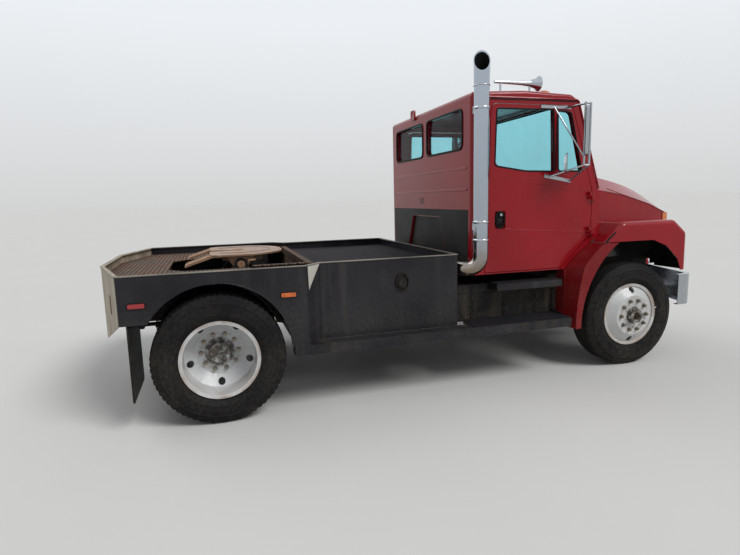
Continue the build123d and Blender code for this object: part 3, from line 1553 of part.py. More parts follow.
hood_block = hood_core(0.0)
hood_hollow = hood_core(hood_skin)
grille_half = 455.0
grille_z0 = 985.0
grille_z1 = 1375.0
hood_pivot_x = rear_axle_x + 4652.0
hood_pivot_z = 878.0
hood_lug_y = rail_outer_y + 22.0
with BuildPart() as fenders:
    for side in sides:
        add(fender_block(side.sign, 0.0))
        add(fender_block(side.sign, hood_skin), mode=Mode.SUBTRACT)
with BuildPart() as hood_shell:
    add(hood_block)
    add(hood_hollow, mode=Mode.SUBTRACT)
    box_between(
        hood_rear_x - 10.0,
        hood_rear_x + 0.5 + hood_skin,
        -hood_sections[0].crease_half + 2 * hood_skin,
        hood_sections[0].crease_half - 2 * hood_skin,
        hood_bottom_z - 10.0,
        1690.0,
        mode=Mode.SUBTRACT,
    )
    box_between(
        hood_rear_x - 10.0,
        rear_axle_x + 4330.0,
        -1000.0,
        1000.0,
        hood_bottom_z - 10.0,
        1040.0,
        mode=Mode.SUBTRACT,
    )
    box_between(
        hood_rear_x - 10.0,
        hood_nose_x - 60.0,
        -500.0,
        500.0,
        hood_bottom_z - 10.0,
        hood_bottom_z + hood_skin + 10.0,
        mode=Mode.SUBTRACT,
    )
    add(fenders.part)
    add(hood_hollow, mode=Mode.SUBTRACT)
    box_between(
        hood_rear_x - 200.0,
        hood_rear_x,
        -cab_half_width - 8.0,
        cab_half_width + 8.0,
        1100.0,
        1500.0,
        mode=Mode.SUBTRACT,
    )
    box_between(
        hood_nose_x - 60.0,
        hood_nose_x + 20.0,
        -grille_half,
        grille_half,
        grille_z0,
        grille_z1,
        mode=Mode.SUBTRACT,
    )
    for side in sides:
        with BuildSketch(slab_plane(side.sign, hood_lug_y + 6.0, 12.0)):
            with BuildLine():
                Polyline(
                    (hood_nose_x - 40.0, hood_bottom_z),
                    (hood_nose_x - 8.0, hood_bottom_z + 40.0),
                    (hood_nose_x - 4.0, hood_bottom_z + 40.0),
                    (hood_pivot_x + 20.0, hood_pivot_z),
                    (hood_pivot_x - 20.0, hood_pivot_z),
                    close=True,
                )
            make_face()
            with Locations((hood_pivot_x, hood_pivot_z)):
                Circle(20.0)
        extrude(amount=12.0)
hood_shell.part.label = "hood_shell"
export_step(hood_shell.part, "parts/hood_shell.step")

# Grille: frame with horizontal bars, seated in the hood's nose opening
grille_bar_pitch = 52.0
grille_bar_count = 7
with BuildPart() as grille:
    with BuildSketch(Plane.YZ.offset(hood_nose_x - 30.0)):
        with Locations((0, (grille_z0 + grille_z1) / 2)):
            Rectangle(2 * grille_half, grille_z1 - grille_z0)
            Rectangle(2 * grille_half - 50.0, grille_z1 - grille_z0 - 50.0, mode=Mode.SUBTRACT)
        with Locations((0, (grille_z0 + grille_z1) / 2)):
            with GridLocations(0, grille_bar_pitch, 1, grille_bar_count):
                Rectangle(2 * grille_half - 40.0, 22.0)
    extrude(amount=30.0)
grille.part.label = "grille"
export_step(grille.part, "parts/grille.step")

# Headlamps and corner lamps: pads that follow the hood's nose
lamp_pad = 7.0
hood_skinned = hood_core(-lamp_pad)
LampPatch = namedtuple("LampPatch", "x0 x1 y0 y1 z0 z1")
headlamp_patch = LampPatch(hood_nose_x - 110.0, hood_nose_x + 20.0, 510.0, 730.0, 1010.0, 1160.0)
corner_patch = LampPatch(rear_axle_x + 4478.0, rear_axle_x + 4600.0, 660.0, 820.0, 1325.0, 1449.0)


def nose_pads(patch):
    """Pads on both sides of the nose, cut from the hood's outline grown by lamp_pad."""
    with BuildPart() as pads:
        for side in sides:
            box_between(
                patch.x0,
                patch.x1,
                min(side.sign * patch.y0, side.sign * patch.y1),
                max(side.sign * patch.y0, side.sign * patch.y1),
                patch.z0,
                patch.z1,
            )
        add(hood_skinned, mode=Mode.INTERSECT)
        add(hood_block, mode=Mode.SUBTRACT)
    return pads.part


with BuildPart() as headlamps:
    add(nose_pads(headlamp_patch))
headlamps.part.label = "headlamps"
export_step(headlamps.part, "parts/headlamps.step")

with BuildPart() as corner_lamps:
    add(nose_pads(corner_patch))
corner_lamps.part.label = "corner_lamps"
export_step(corner_lamps.part, "parts/corner_lamps.step")

# Fender quarters behind the front wheels, fixed to the cab
quarter_top_z = 1204.0
quarter_bottom_z = 427.0
quarter_skin = 8.0
quarter_inner_arc = (
    (rear_axle_x + 3211.0, quarter_bottom_z),
    (rear_axle_x + 3257.0, 738.0),
    (rear_axle_x + 3390.0, 1000.0),
    (rear_axle_x + 3486.0, 1116.0),
    (rear_axle_x + 3598.0, quarter_top_z),
)
quarter_lip_arc = (
    (rear_axle_x + 3152.0, quarter_bottom_z),
    (rear_axle_x + 3172.0, 738.0),
    (rear_axle_x + 3227.0, 1000.0),
    (rear_axle_x + 3325.0, 1116.0),
    (rear_axle_x + 3436.0, quarter_top_z),
)
quarter_root_arc = (
    (rear_axle_x + 3128.0, quarter_bottom_z),
    (rear_axle_x + 3128.0, 738.0),
    (rear_axle_x + 3148.0, 980.0),
    (rear_axle_x + 3266.0, 1106.0),
    (rear_axle_x + 3412.0, quarter_top_z),
)


def arc_band(outer_arc, inner_arc):
    """Face between two lines of two arcs each, every arc given by its ends and middle."""
    with BuildSketch() as band:
        with BuildLine():
            for arc in (outer_arc, inner_arc):
                ThreePointArc(*arc[0:3])
                ThreePointArc(*arc[2:5])
            Line(outer_arc[0], inner_arc[0])
            Line(outer_arc[4], inner_arc[4])
        make_face()
    return band.sketch


def shifted(arc, dx):
    """The same arc moved along X."""
    return tuple((x + dx, z) for x, z in arc)


with BuildPart() as fender_quarters:
    for side in sides:
        lip_plane = side_plane(side.sign * (fender_outer_y - quarter_skin))
        root_plane = side_plane(side.sign * (cab_half_width + 4.0))
        with BuildSketch(slab_plane(side.sign, fender_outer_y, quarter_skin)):
            add(arc_band(quarter_lip_arc, quarter_inner_arc))
        extrude(amount=quarter_skin)
        with BuildSketch(lip_plane):
            add(arc_band(quarter_lip_arc, shifted(quarter_lip_arc, 10.0)))
        with BuildSketch(root_plane):
            add(arc_band(quarter_root_arc, shifted(quarter_root_arc, 10.0)))
        loft()
        box_between(
            rear_axle_x + 3130.0,
            rear_axle_x + 3146.0,
            side.sign * 960.0 - 60.0,
            side.sign * 960.0 + 60.0,
            quarter_bottom_z + 120.0,
            cab_bottom_z,
        )
fender_quarters.part.label = "fender_quarters"
export_step(fender_quarters.part, "parts/fender_quarters.step")

# Roof lamps along the front edge of the roof, domes that stand square to its slope
roof_lamp_x = rear_axle_x + 2970.0
roof_crest_x = cab_back_x + 520.0
roof_fall = 18.0 / (pillar_head_x - 60.0 - roof_crest_x)
roof_lamp_z = roof_top_z - roof_fall * (roof_lamp_x - roof_crest_x)
with BuildPart() as lamp_dome:
    with BuildSketch(Plane.XZ):
        with BuildLine():
            Polyline((0, 0), (62.0, 0), (60.0, 15.0), (48.0, 33.0), (26.0, 43.0), (0, 46.0), close=True)
        make_face()
    revolve(axis=Axis.Z)
with BuildPart() as roof_lamps:
    for lamp_y in (-860.0, -200.0, 0.0, 200.0, 860.0):
        lamp_place = Plane(origin=(roof_lamp_x, lamp_y, roof_lamp_z), z_dir=(roof_fall, 0, 1))
        add(lamp_place.location * lamp_dome.part)
roof_lamps.part.label = "roof_lamps"
export_step(roof_lamps.part, "parts/roof_lamps.step")

# Air horn near the right edge of the roof, its bell to the front
horn_y = -920.0
horn_x0 = rear_axle_x + 2430.0
horn_x1 = rear_axle_x + 2872.0
horn_z = roof_top_z + 78.0
horn_leg_radius = 9.0
with BuildPart() as air_horn:
    with BuildSketch(side_plane(horn_y)):
        with BuildLine():
            Polyline(
                (horn_x0, horn_z),
                (horn_x0, horn_z + 13.0),
                (horn_x0 + 60.0, horn_z + 13.0),
                (horn_x1 - 170.0, horn_z + 20.0),
                (horn_x1 - 90.0, horn_z + 28.0),
                (horn_x1 - 30.0, horn_z + 44.0),
                (horn_x1, horn_z + 66.0),
                (horn_x1, horn_z),
                close=True,
            )
        make_face()
    revolve(axis=Axis((horn_x0, horn_y, horn_z), (1, 0, 0)))
    for leg_x in (horn_x0 + 60.0, horn_x1 - 92.0):
        with Locations((leg_x, horn_y, (roof_top_z - 20.0 + horn_z) / 2)):
            Cylinder(horn_leg_radius, horn_z - roof_top_z + 20.0)
    add(cab_roof.part, mode=Mode.SUBTRACT)
air_horn.part.label = "air_horn"
export_step(air_horn.part, "parts/air_horn.step")

# Marker lamps on the bed's sides
marker_z = 960.0
marker_length = 110.0
marker_height = 32.0
with BuildPart() as marker_lamps:
    for side in sides:
        for marker_x in (rear_axle_x - 540.0, rear_axle_x + 527.0):
            with BuildSketch(slab_plane(side.sign, bed_half_width + 12.0, 12.0)):
                with Locations((marker_x, marker_z)):
                    RectangleRounded(marker_length, marker_height, 8.0)
            extrude(amount=12.0)
marker_lamps.part.label = "marker_lamps"
export_step(marker_lamps.part, "parts/marker_lamps.step")

# Tail lamps behind slots in the slanted rear corners
lamp_margin = 12.0
lamp_depth = 16.0
with BuildPart() as tail_lamps:
    for side in sides:
        with BuildSketch(tail_slot_plane(side.sign, bed_skin + 1.5)):
            RectangleRounded(tail_slot_height + 2 * lamp_margin, tail_slot_width + 2 * lamp_margin, 20.0)
        extrude(amount=-lamp_depth)
tail_lamps.part.label = "tail_lamps"
export_step(tail_lamps.part, "parts/tail_lamps.step")
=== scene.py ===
"""Truck tractor with a low hauler bed: finishes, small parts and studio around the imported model."""

import logging
import math
from dataclasses import dataclass, replace
from enum import Enum
from typing import Callable, Sequence

import bmesh
import bpy
from mathutils import Matrix, Vector


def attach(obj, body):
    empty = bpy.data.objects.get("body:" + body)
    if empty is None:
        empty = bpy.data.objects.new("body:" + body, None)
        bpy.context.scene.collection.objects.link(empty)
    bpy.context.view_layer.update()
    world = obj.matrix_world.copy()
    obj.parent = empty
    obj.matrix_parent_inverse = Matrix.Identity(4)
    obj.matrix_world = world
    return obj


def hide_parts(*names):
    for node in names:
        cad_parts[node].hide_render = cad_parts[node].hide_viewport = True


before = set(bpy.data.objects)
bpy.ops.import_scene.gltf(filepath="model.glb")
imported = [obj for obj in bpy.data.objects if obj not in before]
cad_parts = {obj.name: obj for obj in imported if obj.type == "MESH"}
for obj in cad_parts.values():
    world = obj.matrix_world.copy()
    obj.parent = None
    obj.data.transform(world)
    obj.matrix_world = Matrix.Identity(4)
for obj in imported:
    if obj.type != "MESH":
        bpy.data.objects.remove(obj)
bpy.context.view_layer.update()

log = logging.getLogger("tractor")

Point = tuple[float, float, float]
Pair = tuple[float, float]
Colour = tuple[float, float, float, float]
Line = tuple[Point, ...]
Box = tuple[Point, Point]
Outline = tuple[Pair, ...]
Steps = tuple[Pair, ...]
Sweep = tuple[float, float, int]
Rounding = tuple[float, int]

REARWARD = (-1.0, 0.0, 0.0)
ALIGNED = 0.9
LONGEST_BEND = 0.45
ROUND: Sweep = (0.0, 345.0, 24)
HEXAGON = 6
SOFT = 60.0


class Axis(Enum):
    """World axes, as unit vectors."""

    X = (1.0, 0.0, 0.0)
    Y = (0.0, 1.0, 0.0)
    Z = (0.0, 0.0, 1.0)


class Side(Enum):
    """Left and right of the truck, with the sign of their Y."""

    LEFT = 1
    RIGHT = -1

    @property
    def word(self) -> str:
        """The side's name in node and body names."""
        return self.name.lower()


def shade(red: float, green: float, blue: float) -> Colour:
    """Linear colour from an sRGB colour given in 0 to 255."""
    parts = []
    for value in (red, green, blue):
        share = value / 255.0
        parts.append(share / 12.92 if share <= 0.04045 else ((share + 0.055) / 1.055) ** 2.4)
    return (parts[0], parts[1], parts[2], 1.0)


class Wiring:
    """A node tree being wired up, for a material or a group.

    Args:
        tree: The tree that the nodes are added to.
    """

    def __init__(self, tree: bpy.types.NodeTree) -> None:
        self.tree = tree

    def node(self, kind: str, inputs: dict | None = None, **settings: object) -> bpy.types.Node:
        """Add a node, set it up and join its inputs.

        Args:
            kind: Blender's name of the node type, without its prefix.
            inputs: Values or sockets by input name or number.
            settings: Properties of the node itself.

        Returns:
            The new node.
        """
        prefix = "NodeGroup" if kind in ("Input", "Output") else "ShaderNode" + kind
        made = self.tree.nodes.new(prefix + kind if kind in ("Input", "Output") else prefix)
        for name, value in settings.items():
            setattr(made, name, value)
        for name, value in (inputs or {}).items():
            if isinstance(value, bpy.types.NodeSocket):
                self.tree.links.new(value, made.inputs[name])
            else:
                made.inputs[name].default_value = value
        return made

    def place(self) -> bpy.types.NodeSocket:
        """The surface point in the piece's own coordinates."""
        return self.node("TexCoord").outputs["Object"]

    def noise(self, scale: float, detail: float = 4.0, stretch: Point = (1.0, 1.0, 1.0),
              rough: float = 0.55) -> bpy.types.NodeSocket:
        """Noise from 0 to 1 on object coordinates, stretched along the axes."""
        moved = self.node("Mapping", {"Vector": self.place(), "Scale": stretch})
        made = self.node("TexNoise", {"Vector": moved.outputs[0], "Scale": scale,
                                      "Detail": detail, "Roughness": rough})
        return made.outputs["Fac"]

    def ramp(self, value: bpy.types.NodeSocket, low: float, high: float,
             out_low: float = 0.0, out_high: float = 1.0) -> bpy.types.NodeSocket:
        """Value mapped from low..high to out_low..out_high, clamped."""
        made = self.node("MapRange", {"Value": value, "From Min": low, "From Max": high,
                                      "To Min": out_low, "To Max": out_high})
        return made.outputs["Result"]

    def math(self, operation: str, first: object, second: object = 0.0) -> bpy.types.NodeSocket:
        """Arithmetic on two values or sockets, clamped to 0..1."""
        made = self.node("Math", {0: first, 1: second}, operation=operation, use_clamp=True)
        return made.outputs[0]

    def calc(self, operation: str, first: object, second: object = 0.0) -> bpy.types.NodeSocket:
        """Arithmetic on two values or sockets, not clamped."""
        return self.node("Math", {0: first, 1: second}, operation=operation).outputs[0]

    def along(self, axis: str) -> bpy.types.NodeSocket:
        """The surface point's place along one axis, in metres."""
        return self.node("SeparateXYZ", {0: self.place()}).outputs[axis]

    def reach(self, centre_x: float, centre_z: float) -> bpy.types.NodeSocket:
        """Distance from an axle that runs along Y."""
        moved = self.node("Mapping", {"Vector": self.place(), "Location": (-centre_x, 0.0, -centre_z),
                                      "Scale": (1.0, 0.0, 1.0)})
        return self.node("VectorMath", {0: moved.outputs[0]}, operation="LENGTH").outputs["Value"]

    def mix(self, share: object, first: object, second: object) -> bpy.types.NodeSocket:
        """Colour between two colours or sockets by a share."""
        made = self.node("Mix", data_type="RGBA")
        for index, value in ((0, share), (6, first), (7, second)):
            if isinstance(value, bpy.types.NodeSocket):
                self.tree.links.new(value, made.inputs[index])
            else:
                made.inputs[index].default_value = value
        return made.outputs[2]


@dataclass(frozen=True)
class Effect:
    """A shader group that several finishes share, built once and placed with its own values.

    Args:
        title: The group's name.
        inputs: Input names with their starting values.
        outputs: Output names.
        build: Wires the group's inside, given the wiring and its input sockets, and
            returns a socket for each output.
    """

    title: str
    inputs: tuple[tuple[str, float], ...]
    outputs: tuple[str, ...]
    build: Callable[[Wiring, dict[str, bpy.types.NodeSocket]], Sequence[bpy.types.NodeSocket]]

    def tree(self) -> bpy.types.NodeTree:
        """The group's tree, made at its first use."""
        found = bpy.data.node_groups.get(self.title)
        if found:
            return found
        tree = bpy.data.node_groups.new(self.title, "ShaderNodeTree")
        for name, value in self.inputs:
            made = tree.interface.new_socket(name, in_out="INPUT", socket_type="NodeSocketFloat")
            made.default_value = value
        for name in self.outputs:
            tree.interface.new_socket(name, in_out="OUTPUT", socket_type="NodeSocketFloat")
        wiring = Wiring(tree)
        source = wiring.node("Input")
        given = {name: source.outputs[name] for name, _ in self.inputs}
        results = self.build(wiring, given)
        wiring.node("Output", dict(zip(self.outputs, results)))
        return tree

    def placed(self, wiring: Wiring, **values: float) -> dict[str, bpy.types.NodeSocket]:
        """Place the group in a material.

        Args:
            wiring: The material's wiring.
            values: Input values, by name in lower case.

        Returns:
            The group's output sockets by name.
        """
        made = wiring.node("Group", node_tree=self.tree())
        for name, value in values.items():
            made.inputs[name.capitalize()].default_value = value
        return {name: made.outputs[name] for name in self.outputs}


def build_dust(wiring: Wiring, given: dict[str, bpy.types.NodeSocket]) -> list[bpy.types.NodeSocket]:
    """Dust that thickens towards the ground and breaks up in patches."""
    patches = wiring.noise(3.1, 6.0)
    specks = wiring.noise(38.0, 3.0)
    near = wiring.calc("SUBTRACT", given["Top"], wiring.along("Z"))
    low = wiring.math("DIVIDE", near, given["Fade"])
    lifted = wiring.ramp(wiring.calc("MULTIPLY", patches, specks), 0.16, 0.42)
    share = wiring.math("MULTIPLY", lifted, low)
    rest = wiring.math("MULTIPLY", lifted, 0.18)
    total = wiring.math("MAXIMUM", share, rest)
    return [wiring.math("MULTIPLY", total, given["Amount"])]


def build_chips(wiring: Wiring, given: dict[str, bpy.types.NodeSocket]) -> list[bpy.types.NodeSocket]:
    """Small worn-through spots, gathered in patches."""
    fine = wiring.node("TexNoise", {"Vector": wiring.place(), "Scale": given["Scale"], "Detail": 5.0})
    patches = wiring.noise(2.3, 3.0)
    spots = wiring.ramp(wiring.calc("ADD", fine.outputs["Fac"], given["Amount"]), 0.70, 0.74)
    where = wiring.ramp(patches, 0.42, 0.62)
    return [wiring.math("MULTIPLY", spots, where)]


def build_grain(wiring: Wiring, given: dict[str, bpy.types.NodeSocket]) -> list[bpy.types.NodeSocket]:
    """Fine surface grain, as a height and as a slow drift in tone."""
    fine = wiring.node("TexNoise", {"Vector": wiring.place(), "Scale": given["Scale"], "Detail": 3.0})
    drift = wiring.noise(1.7, 4.0)
    return [fine.outputs["Fac"], drift]


def build_runs(wiring: Wiring, given: dict[str, bpy.types.NodeSocket]) -> list[bpy.types.NodeSocket]:
    """Streaks that run down the surface."""
    long = wiring.noise(9.0, 4.0, (1.0, 1.0, 0.09))
    patches = wiring.noise(1.3, 2.0)
    runs = wiring.ramp(long, 0.50, 0.72)
    where = wiring.ramp(patches, 0.40, 0.60)
    both = wiring.math("MULTIPLY", runs, where)
    return [wiring.math("MULTIPLY", both, given["Amount"])]


def build_lozenge(wiring: Wiring, given: dict[str, bpy.types.NodeSocket]) -> list[bpy.types.NodeSocket]:
    """Raised lozenges that lean left and right by turns, as on tread plate."""
    across = wiring.calc("DIVIDE", wiring.along("X"), given["Pitch"])
    along = wiring.calc("DIVIDE", wiring.along("Y"), given["Pitch"])
    cells = wiring.calc("ADD", wiring.calc("FLOOR", across), wiring.calc("FLOOR", along))
    odd = wiring.calc("FLOORED_MODULO", cells, 2.0)
    lean = wiring.calc("SUBTRACT", wiring.calc("MULTIPLY", odd, 2.0), 1.0)
    right = wiring.calc("SUBTRACT", wiring.calc("FRACT", across), 0.5)
    up = wiring.calc("MULTIPLY", wiring.calc("SUBTRACT", wiring.calc("FRACT", along), 0.5), lean)
    length = wiring.calc("MULTIPLY", wiring.calc("ADD", right, up), 0.9)
    width = wiring.calc("MULTIPLY", wiring.calc("SUBTRACT", right, up), 3.0)
    squares = wiring.calc("ADD", wiring.calc("MULTIPLY", length, length), wiring.calc("MULTIPLY", width, width))
    return [wiring.ramp(wiring.calc("SQRT", squares), 0.58, 0.40)]


DUST = Effect("road_dust", (("Amount", 0.5), ("Top", 1.2), ("Fade", 1.0)), ("Mask",), build_dust)
CHIPS = Effect("worn_chips", (("Scale", 60.0), ("Amount", 0.0)), ("Mask",), build_chips)
GRAIN = Effect("fine_grain", (("Scale", 400.0),), ("Height", "Drift"), build_grain)
RUNS = Effect("rain_runs", (("Amount", 0.5),), ("Mask",), build_runs)
LOZENGE = Effect("raised_lozenges", (("Pitch", 0.036),), ("Mask",), build_lozenge)

# Rear and front axle along X, and the height of both.
RA = -1.924
FA = 1.887
AXLE_Z = 0.498

# Where the bed's slanted rear panels start, the top of its walls, and the hollow over a front
# wheel that gets painted shade: its reach along X, the fender's inner side and the height up to its underside.
BED_CORNER_X = RA - 0.660
WALL_TOP_Z = 1.170
HOLLOW_X = (FA - 0.53, FA + 0.72)
HOLLOW_Y = 0.93
HOLLOW_Z = 1.335

# Painted shade for the inner side of a shell.
INNER_SHADE_TONE = shade(26, 23, 23)
# Lighter top edge of the bed walls: rubbed paint and a painted highlight.
RUBBED_AND_HIGHLIGHT_TONE = shade(120, 116, 110)
RIM_RUST_TONE = shade(140, 104, 70)
GREASE_TONE = shade(46, 42, 38)
DUST_TONE = shade(166, 153, 132)
RUST_TONE = shade(112, 62, 34)
RUST_DARK = shade(66, 42, 30)
# Brown low on the stack: heat tint, and a painted reflection of the ground.
SCORCH_AND_GROUND_REFLECTION = shade(134, 108, 74)


@dataclass(frozen=True)
class Finish:
    """Base of every finish: a named material made once.

    Args:
        title: The material's name.
    """

    title: str

    def material(self) -> bpy.types.Material:
        """The material, made at its first use."""
        name = self.title + "_finish"
        found = bpy.data.materials.get(name)
        if found:
            return found
        made = bpy.data.materials.new(name)
        made.use_nodes = True
        made.node_tree.nodes.clear()
        wiring = Wiring(made.node_tree)
        shader = wiring.node("BsdfPrincipled")
        wiring.node("OutputMaterial", {"Surface": shader.outputs[0]})
        self.wire(wiring, shader)
        return made

    def wire(self, wiring: Wiring, shader: bpy.types.Node) -> None:
        """Wire the finish into its Principled shader."""
        raise NotImplementedError

    def bump(self, wiring: Wiring, shader: bpy.types.Node, height: bpy.types.NodeSocket,
             strength: float, depth: float) -> None:
        """Feed a height through a Bump node to the shader's normal."""
        made = wiring.node("Bump", {"Height": height, "Strength": strength, "Distance": depth})
        wiring.tree.links.new(made.outputs[0], shader.inputs["Normal"])

    def join(self, wiring: Wiring, shader: bpy.types.Node, name: str,
             socket: bpy.types.NodeSocket) -> None:
        """Join a socket to one of the shader's inputs."""
        wiring.tree.links.new(socket, shader.inputs[name])

    def fix(self, shader: bpy.types.Node, values: dict[str, float]) -> None:
        """Set the shader's inputs that are the same all over."""
        for name, value in values.items():
            shader.inputs[name].default_value = value


@dataclass(frozen=True)
class Paint(Finish):
    """Body paint with a clear coat, faded and dusty lower down.

    Args:
        deep: The sound paint.
        faded: The same paint where it has faded.
        rough: Roughness without dust.
        coat: Weight of the clear coat.
        dust: Share of dust at the ground.
        dust_top: Height at which the dust ends.
        chips: How far the paint is chipped, from about -0.1 up.
        streaks: Share of the streaks left by rain.
        tail: Whether it is thick with dust behind the bed's corners, and lighter along its top as rubbed paint and
            a painted highlight.
        shaded_inside: Whether the inner side of its shell is darkened with painted shade.
    """

    deep: Colour
    faded: Colour
    rough: float = 0.28
    coat: float = 0.6
    dust: float = 0.35
    dust_top: float = 1.3
    chips: float = -0.04
    streaks: float = 0.10
    tail: bool = False
    shaded_inside: bool = False

    def wire(self, wiring: Wiring, shader: bpy.types.Node) -> None:
        """Wire drift, chips, runs and dust over the paint, thicker behind the bed's rear corners."""
        grain = GRAIN.placed(wiring, scale=240.0)
        dust = DUST.placed(wiring, amount=self.dust, top=self.dust_top, fade=1.1)["Mask"]
        chips = CHIPS.placed(wiring, scale=70.0, amount=self.chips)["Mask"]
        runs = RUNS.placed(wiring, amount=self.streaks)["Mask"]
        drift = wiring.ramp(grain["Drift"], 0.32, 0.68)
        tone = wiring.mix(drift, self.deep, self.faded)
        # Painted shade on the shell's inner faces and in the front wheel hollow.
        if self.shaded_inside:
            tone = wiring.mix(self.inner_side(wiring), tone, INNER_SHADE_TONE)
        streaked = wiring.mix(runs, tone, DUST_TONE)
        chipped = wiring.mix(chips, streaked, RUST_DARK)
        if self.tail:
            behind = wiring.ramp(wiring.along("X"), BED_CORNER_X, BED_CORNER_X - 0.012)
            patches = wiring.ramp(wiring.noise(7.0, 6.0, (1.0, 1.0, 0.35)), 0.30, 0.62, 0.50, 1.0)
            # Lighter band along the wall's top: rubbed paint and a painted highlight.
            worn = wiring.ramp(wiring.along("Z"), WALL_TOP_Z - 0.0015, WALL_TOP_Z)
            rubbed = wiring.math("MULTIPLY", worn, wiring.ramp(wiring.noise(5.0, 6.0), 0.35, 0.7, 0.0, 0.7))
            dust = wiring.math("MAXIMUM", dust, wiring.math("MULTIPLY", behind, patches))
            chipped = wiring.mix(rubbed, chipped, RUBBED_AND_HIGHLIGHT_TONE)
        self.join(wiring, shader, "Base Color", wiring.mix(dust, chipped, DUST_TONE))
        self.join(wiring, shader, "Roughness", wiring.ramp(dust, 0.0, 0.6, self.rough, 0.75))
        self.fix(shader, {"Specular IOR Level": 0.14, "Coat Weight": self.coat, "Coat Roughness": 0.09})
        self.bump(wiring, shader, grain["Height"], 0.05, 0.0006)

    def inner_side(self, wiring: Wiring) -> bpy.types.NodeSocket:
        """Share of painted shade inside a shell: faces that look down or inwards, and a front wheel's hollow."""
        facing = wiring.node("SeparateXYZ", {0: wiring.node("TexCoord").outputs["Normal"]}).outputs
        along, across, up = (wiring.along(axis) for axis in "XYZ")
        inward = wiring.calc("MULTIPLY", facing["Y"], wiring.calc("SIGN", across))
        inner, under, rearward = (wiring.ramp(value, -0.25, -0.45) for value in (inward, facing["Z"], facing["X"]))
        nose = wiring.math("MULTIPLY", rearward, wiring.ramp(along, FA, FA + 0.1))
        within = wiring.ramp(wiring.calc("ABSOLUTE", across), HOLLOW_Y, HOLLOW_Y - 0.03)
        below = wiring.ramp(up, HOLLOW_Z, HOLLOW_Z - 0.02)
        ahead = wiring.ramp(along, HOLLOW_X[0], HOLLOW_X[0] + 0.02)
        behind = wiring.ramp(along, HOLLOW_X[1], HOLLOW_X[1] - 0.02)
        lengthways = wiring.math("MULTIPLY", ahead, behind)
        hollow = wiring.math("MULTIPLY", wiring.math("MULTIPLY", within, below), lengthways)
        looking = wiring.math("MAXIMUM", wiring.math("MAXIMUM", inner, under), nose)
        return wiring.math("MAXIMUM", hollow, looking)


@dataclass(frozen=True)
class Metal(Finish):
    """Plated, brushed or cast metal.

    Args:
        tone: The clean metal.
        rough: Roughness without dust.
        metallic: How metallic it is where it is clean.
        dust: Share of dust at the ground.
        rust: How far it is rusty, from about -0.3 up.
        grain: Fineness of its grain.
        relief: Depth of its grain.
        scorch_top: Height up to which it is brown, from heat tint and from a painted reflection of the ground, or
            none.
    """

    tone: Colour
    rough: float = 0.2
    metallic: float = 1.0
    dust: float = 0.25
    rust: float = -0.06
    grain: float = 300.0
    relief: float = 0.0004
    scorch_top: float = 0.0

    def wire(self, wiring: Wiring, shader: bpy.types.Node) -> None:
        """Wire rust spots and dust over the metal."""
        grain = GRAIN.placed(wiring, scale=self.grain)
        dust = DUST.placed(wiring, amount=self.dust, top=1.4, fade=1.2)["Mask"]
        rust = CHIPS.placed(wiring, scale=45.0, amount=self.rust)["Mask"]
        tone = self.tone
        # Browner towards the bottom: heat tint, and a painted reflection of the ground.
        if self.scorch_top:
            rise = wiring.calc("ADD", wiring.along("Z"), wiring.calc("MULTIPLY", wiring.noise(9.0, 4.0), 0.35))
            tone = wiring.mix(wiring.ramp(rise, self.scorch_top, self.scorch_top + 0.45), SCORCH_AND_GROUND_REFLECTION, self.tone)
        rusted = wiring.mix(rust, tone, RUST_TONE)
        self.join(wiring, shader, "Base Color", wiring.mix(dust, rusted, DUST_TONE))
        cover = wiring.math("MAXIMUM", dust, rust)
        metallic = wiring.ramp(cover, 0.0, 1.0, self.metallic, 0.0)
        self.join(wiring, shader, "Metallic", metallic)
        drift = wiring.ramp(grain["Drift"], 0.3, 0.7, self.rough * 0.75, self.rough * 1.35)
        dull = wiring.ramp(cover, 0.0, 1.0, 0.0, 0.8)
        self.join(wiring, shader, "Roughness", wiring.math("MAXIMUM", drift, dull))
        self.bump(wiring, shader, grain["Height"], 0.25, self.relief)


@dataclass(frozen=True)
class Rubber(Finish):
    """Tyre or seal rubber with dried dirt in it."""

    tone: Colour
    dirt: Colour = DUST_TONE
    rough: float = 0.72
    dust: float = 0.35
    relief: float = 0.0008

    def wire(self, wiring: Wiring, shader: bpy.types.Node) -> None:
        """Wire dried dirt over the rubber."""
        grain = GRAIN.placed(wiring, scale=520.0)
        dust = DUST.placed(wiring, amount=self.dust, top=1.5, fade=1.0)["Mask"]
        self.join(wiring, shader, "Base Color", wiring.mix(dust, self.tone, self.dirt))
        drift = wiring.ramp(grain["Drift"], 0.3, 0.7, self.rough * 0.8, min(1.0, self.rough * 1.15))
        self.join(wiring, shader, "Roughness", drift)
        self.fix(shader, {"Specular IOR Level": 0.12})
        self.bump(wiring, shader, grain["Height"], 0.35, self.relief)


@dataclass(frozen=True)
class Glass(Finish):
    """Tinted safety glass with a film of dust."""

    tint: Colour
    rough: float = 0.02

    def wire(self, wiring: Wiring, shader: bpy.types.Node) -> None:
        """Wire the film of dust into the tint and the gloss."""
        film = wiring.ramp(wiring.noise(5.0, 5.0), 0.45, 0.8, 0.0, 0.10)
        self.join(wiring, shader, "Base Color", wiring.mix(film, self.tint, DUST_TONE))
        hazy = wiring.ramp(wiring.noise(2.0, 3.0), 0.3, 0.8, self.rough, self.rough + 0.06)
        self.join(wiring, shader, "Roughness", hazy)
        self.fix(shader, {"Transmission Weight": 1.0, "IOR": 1.10})


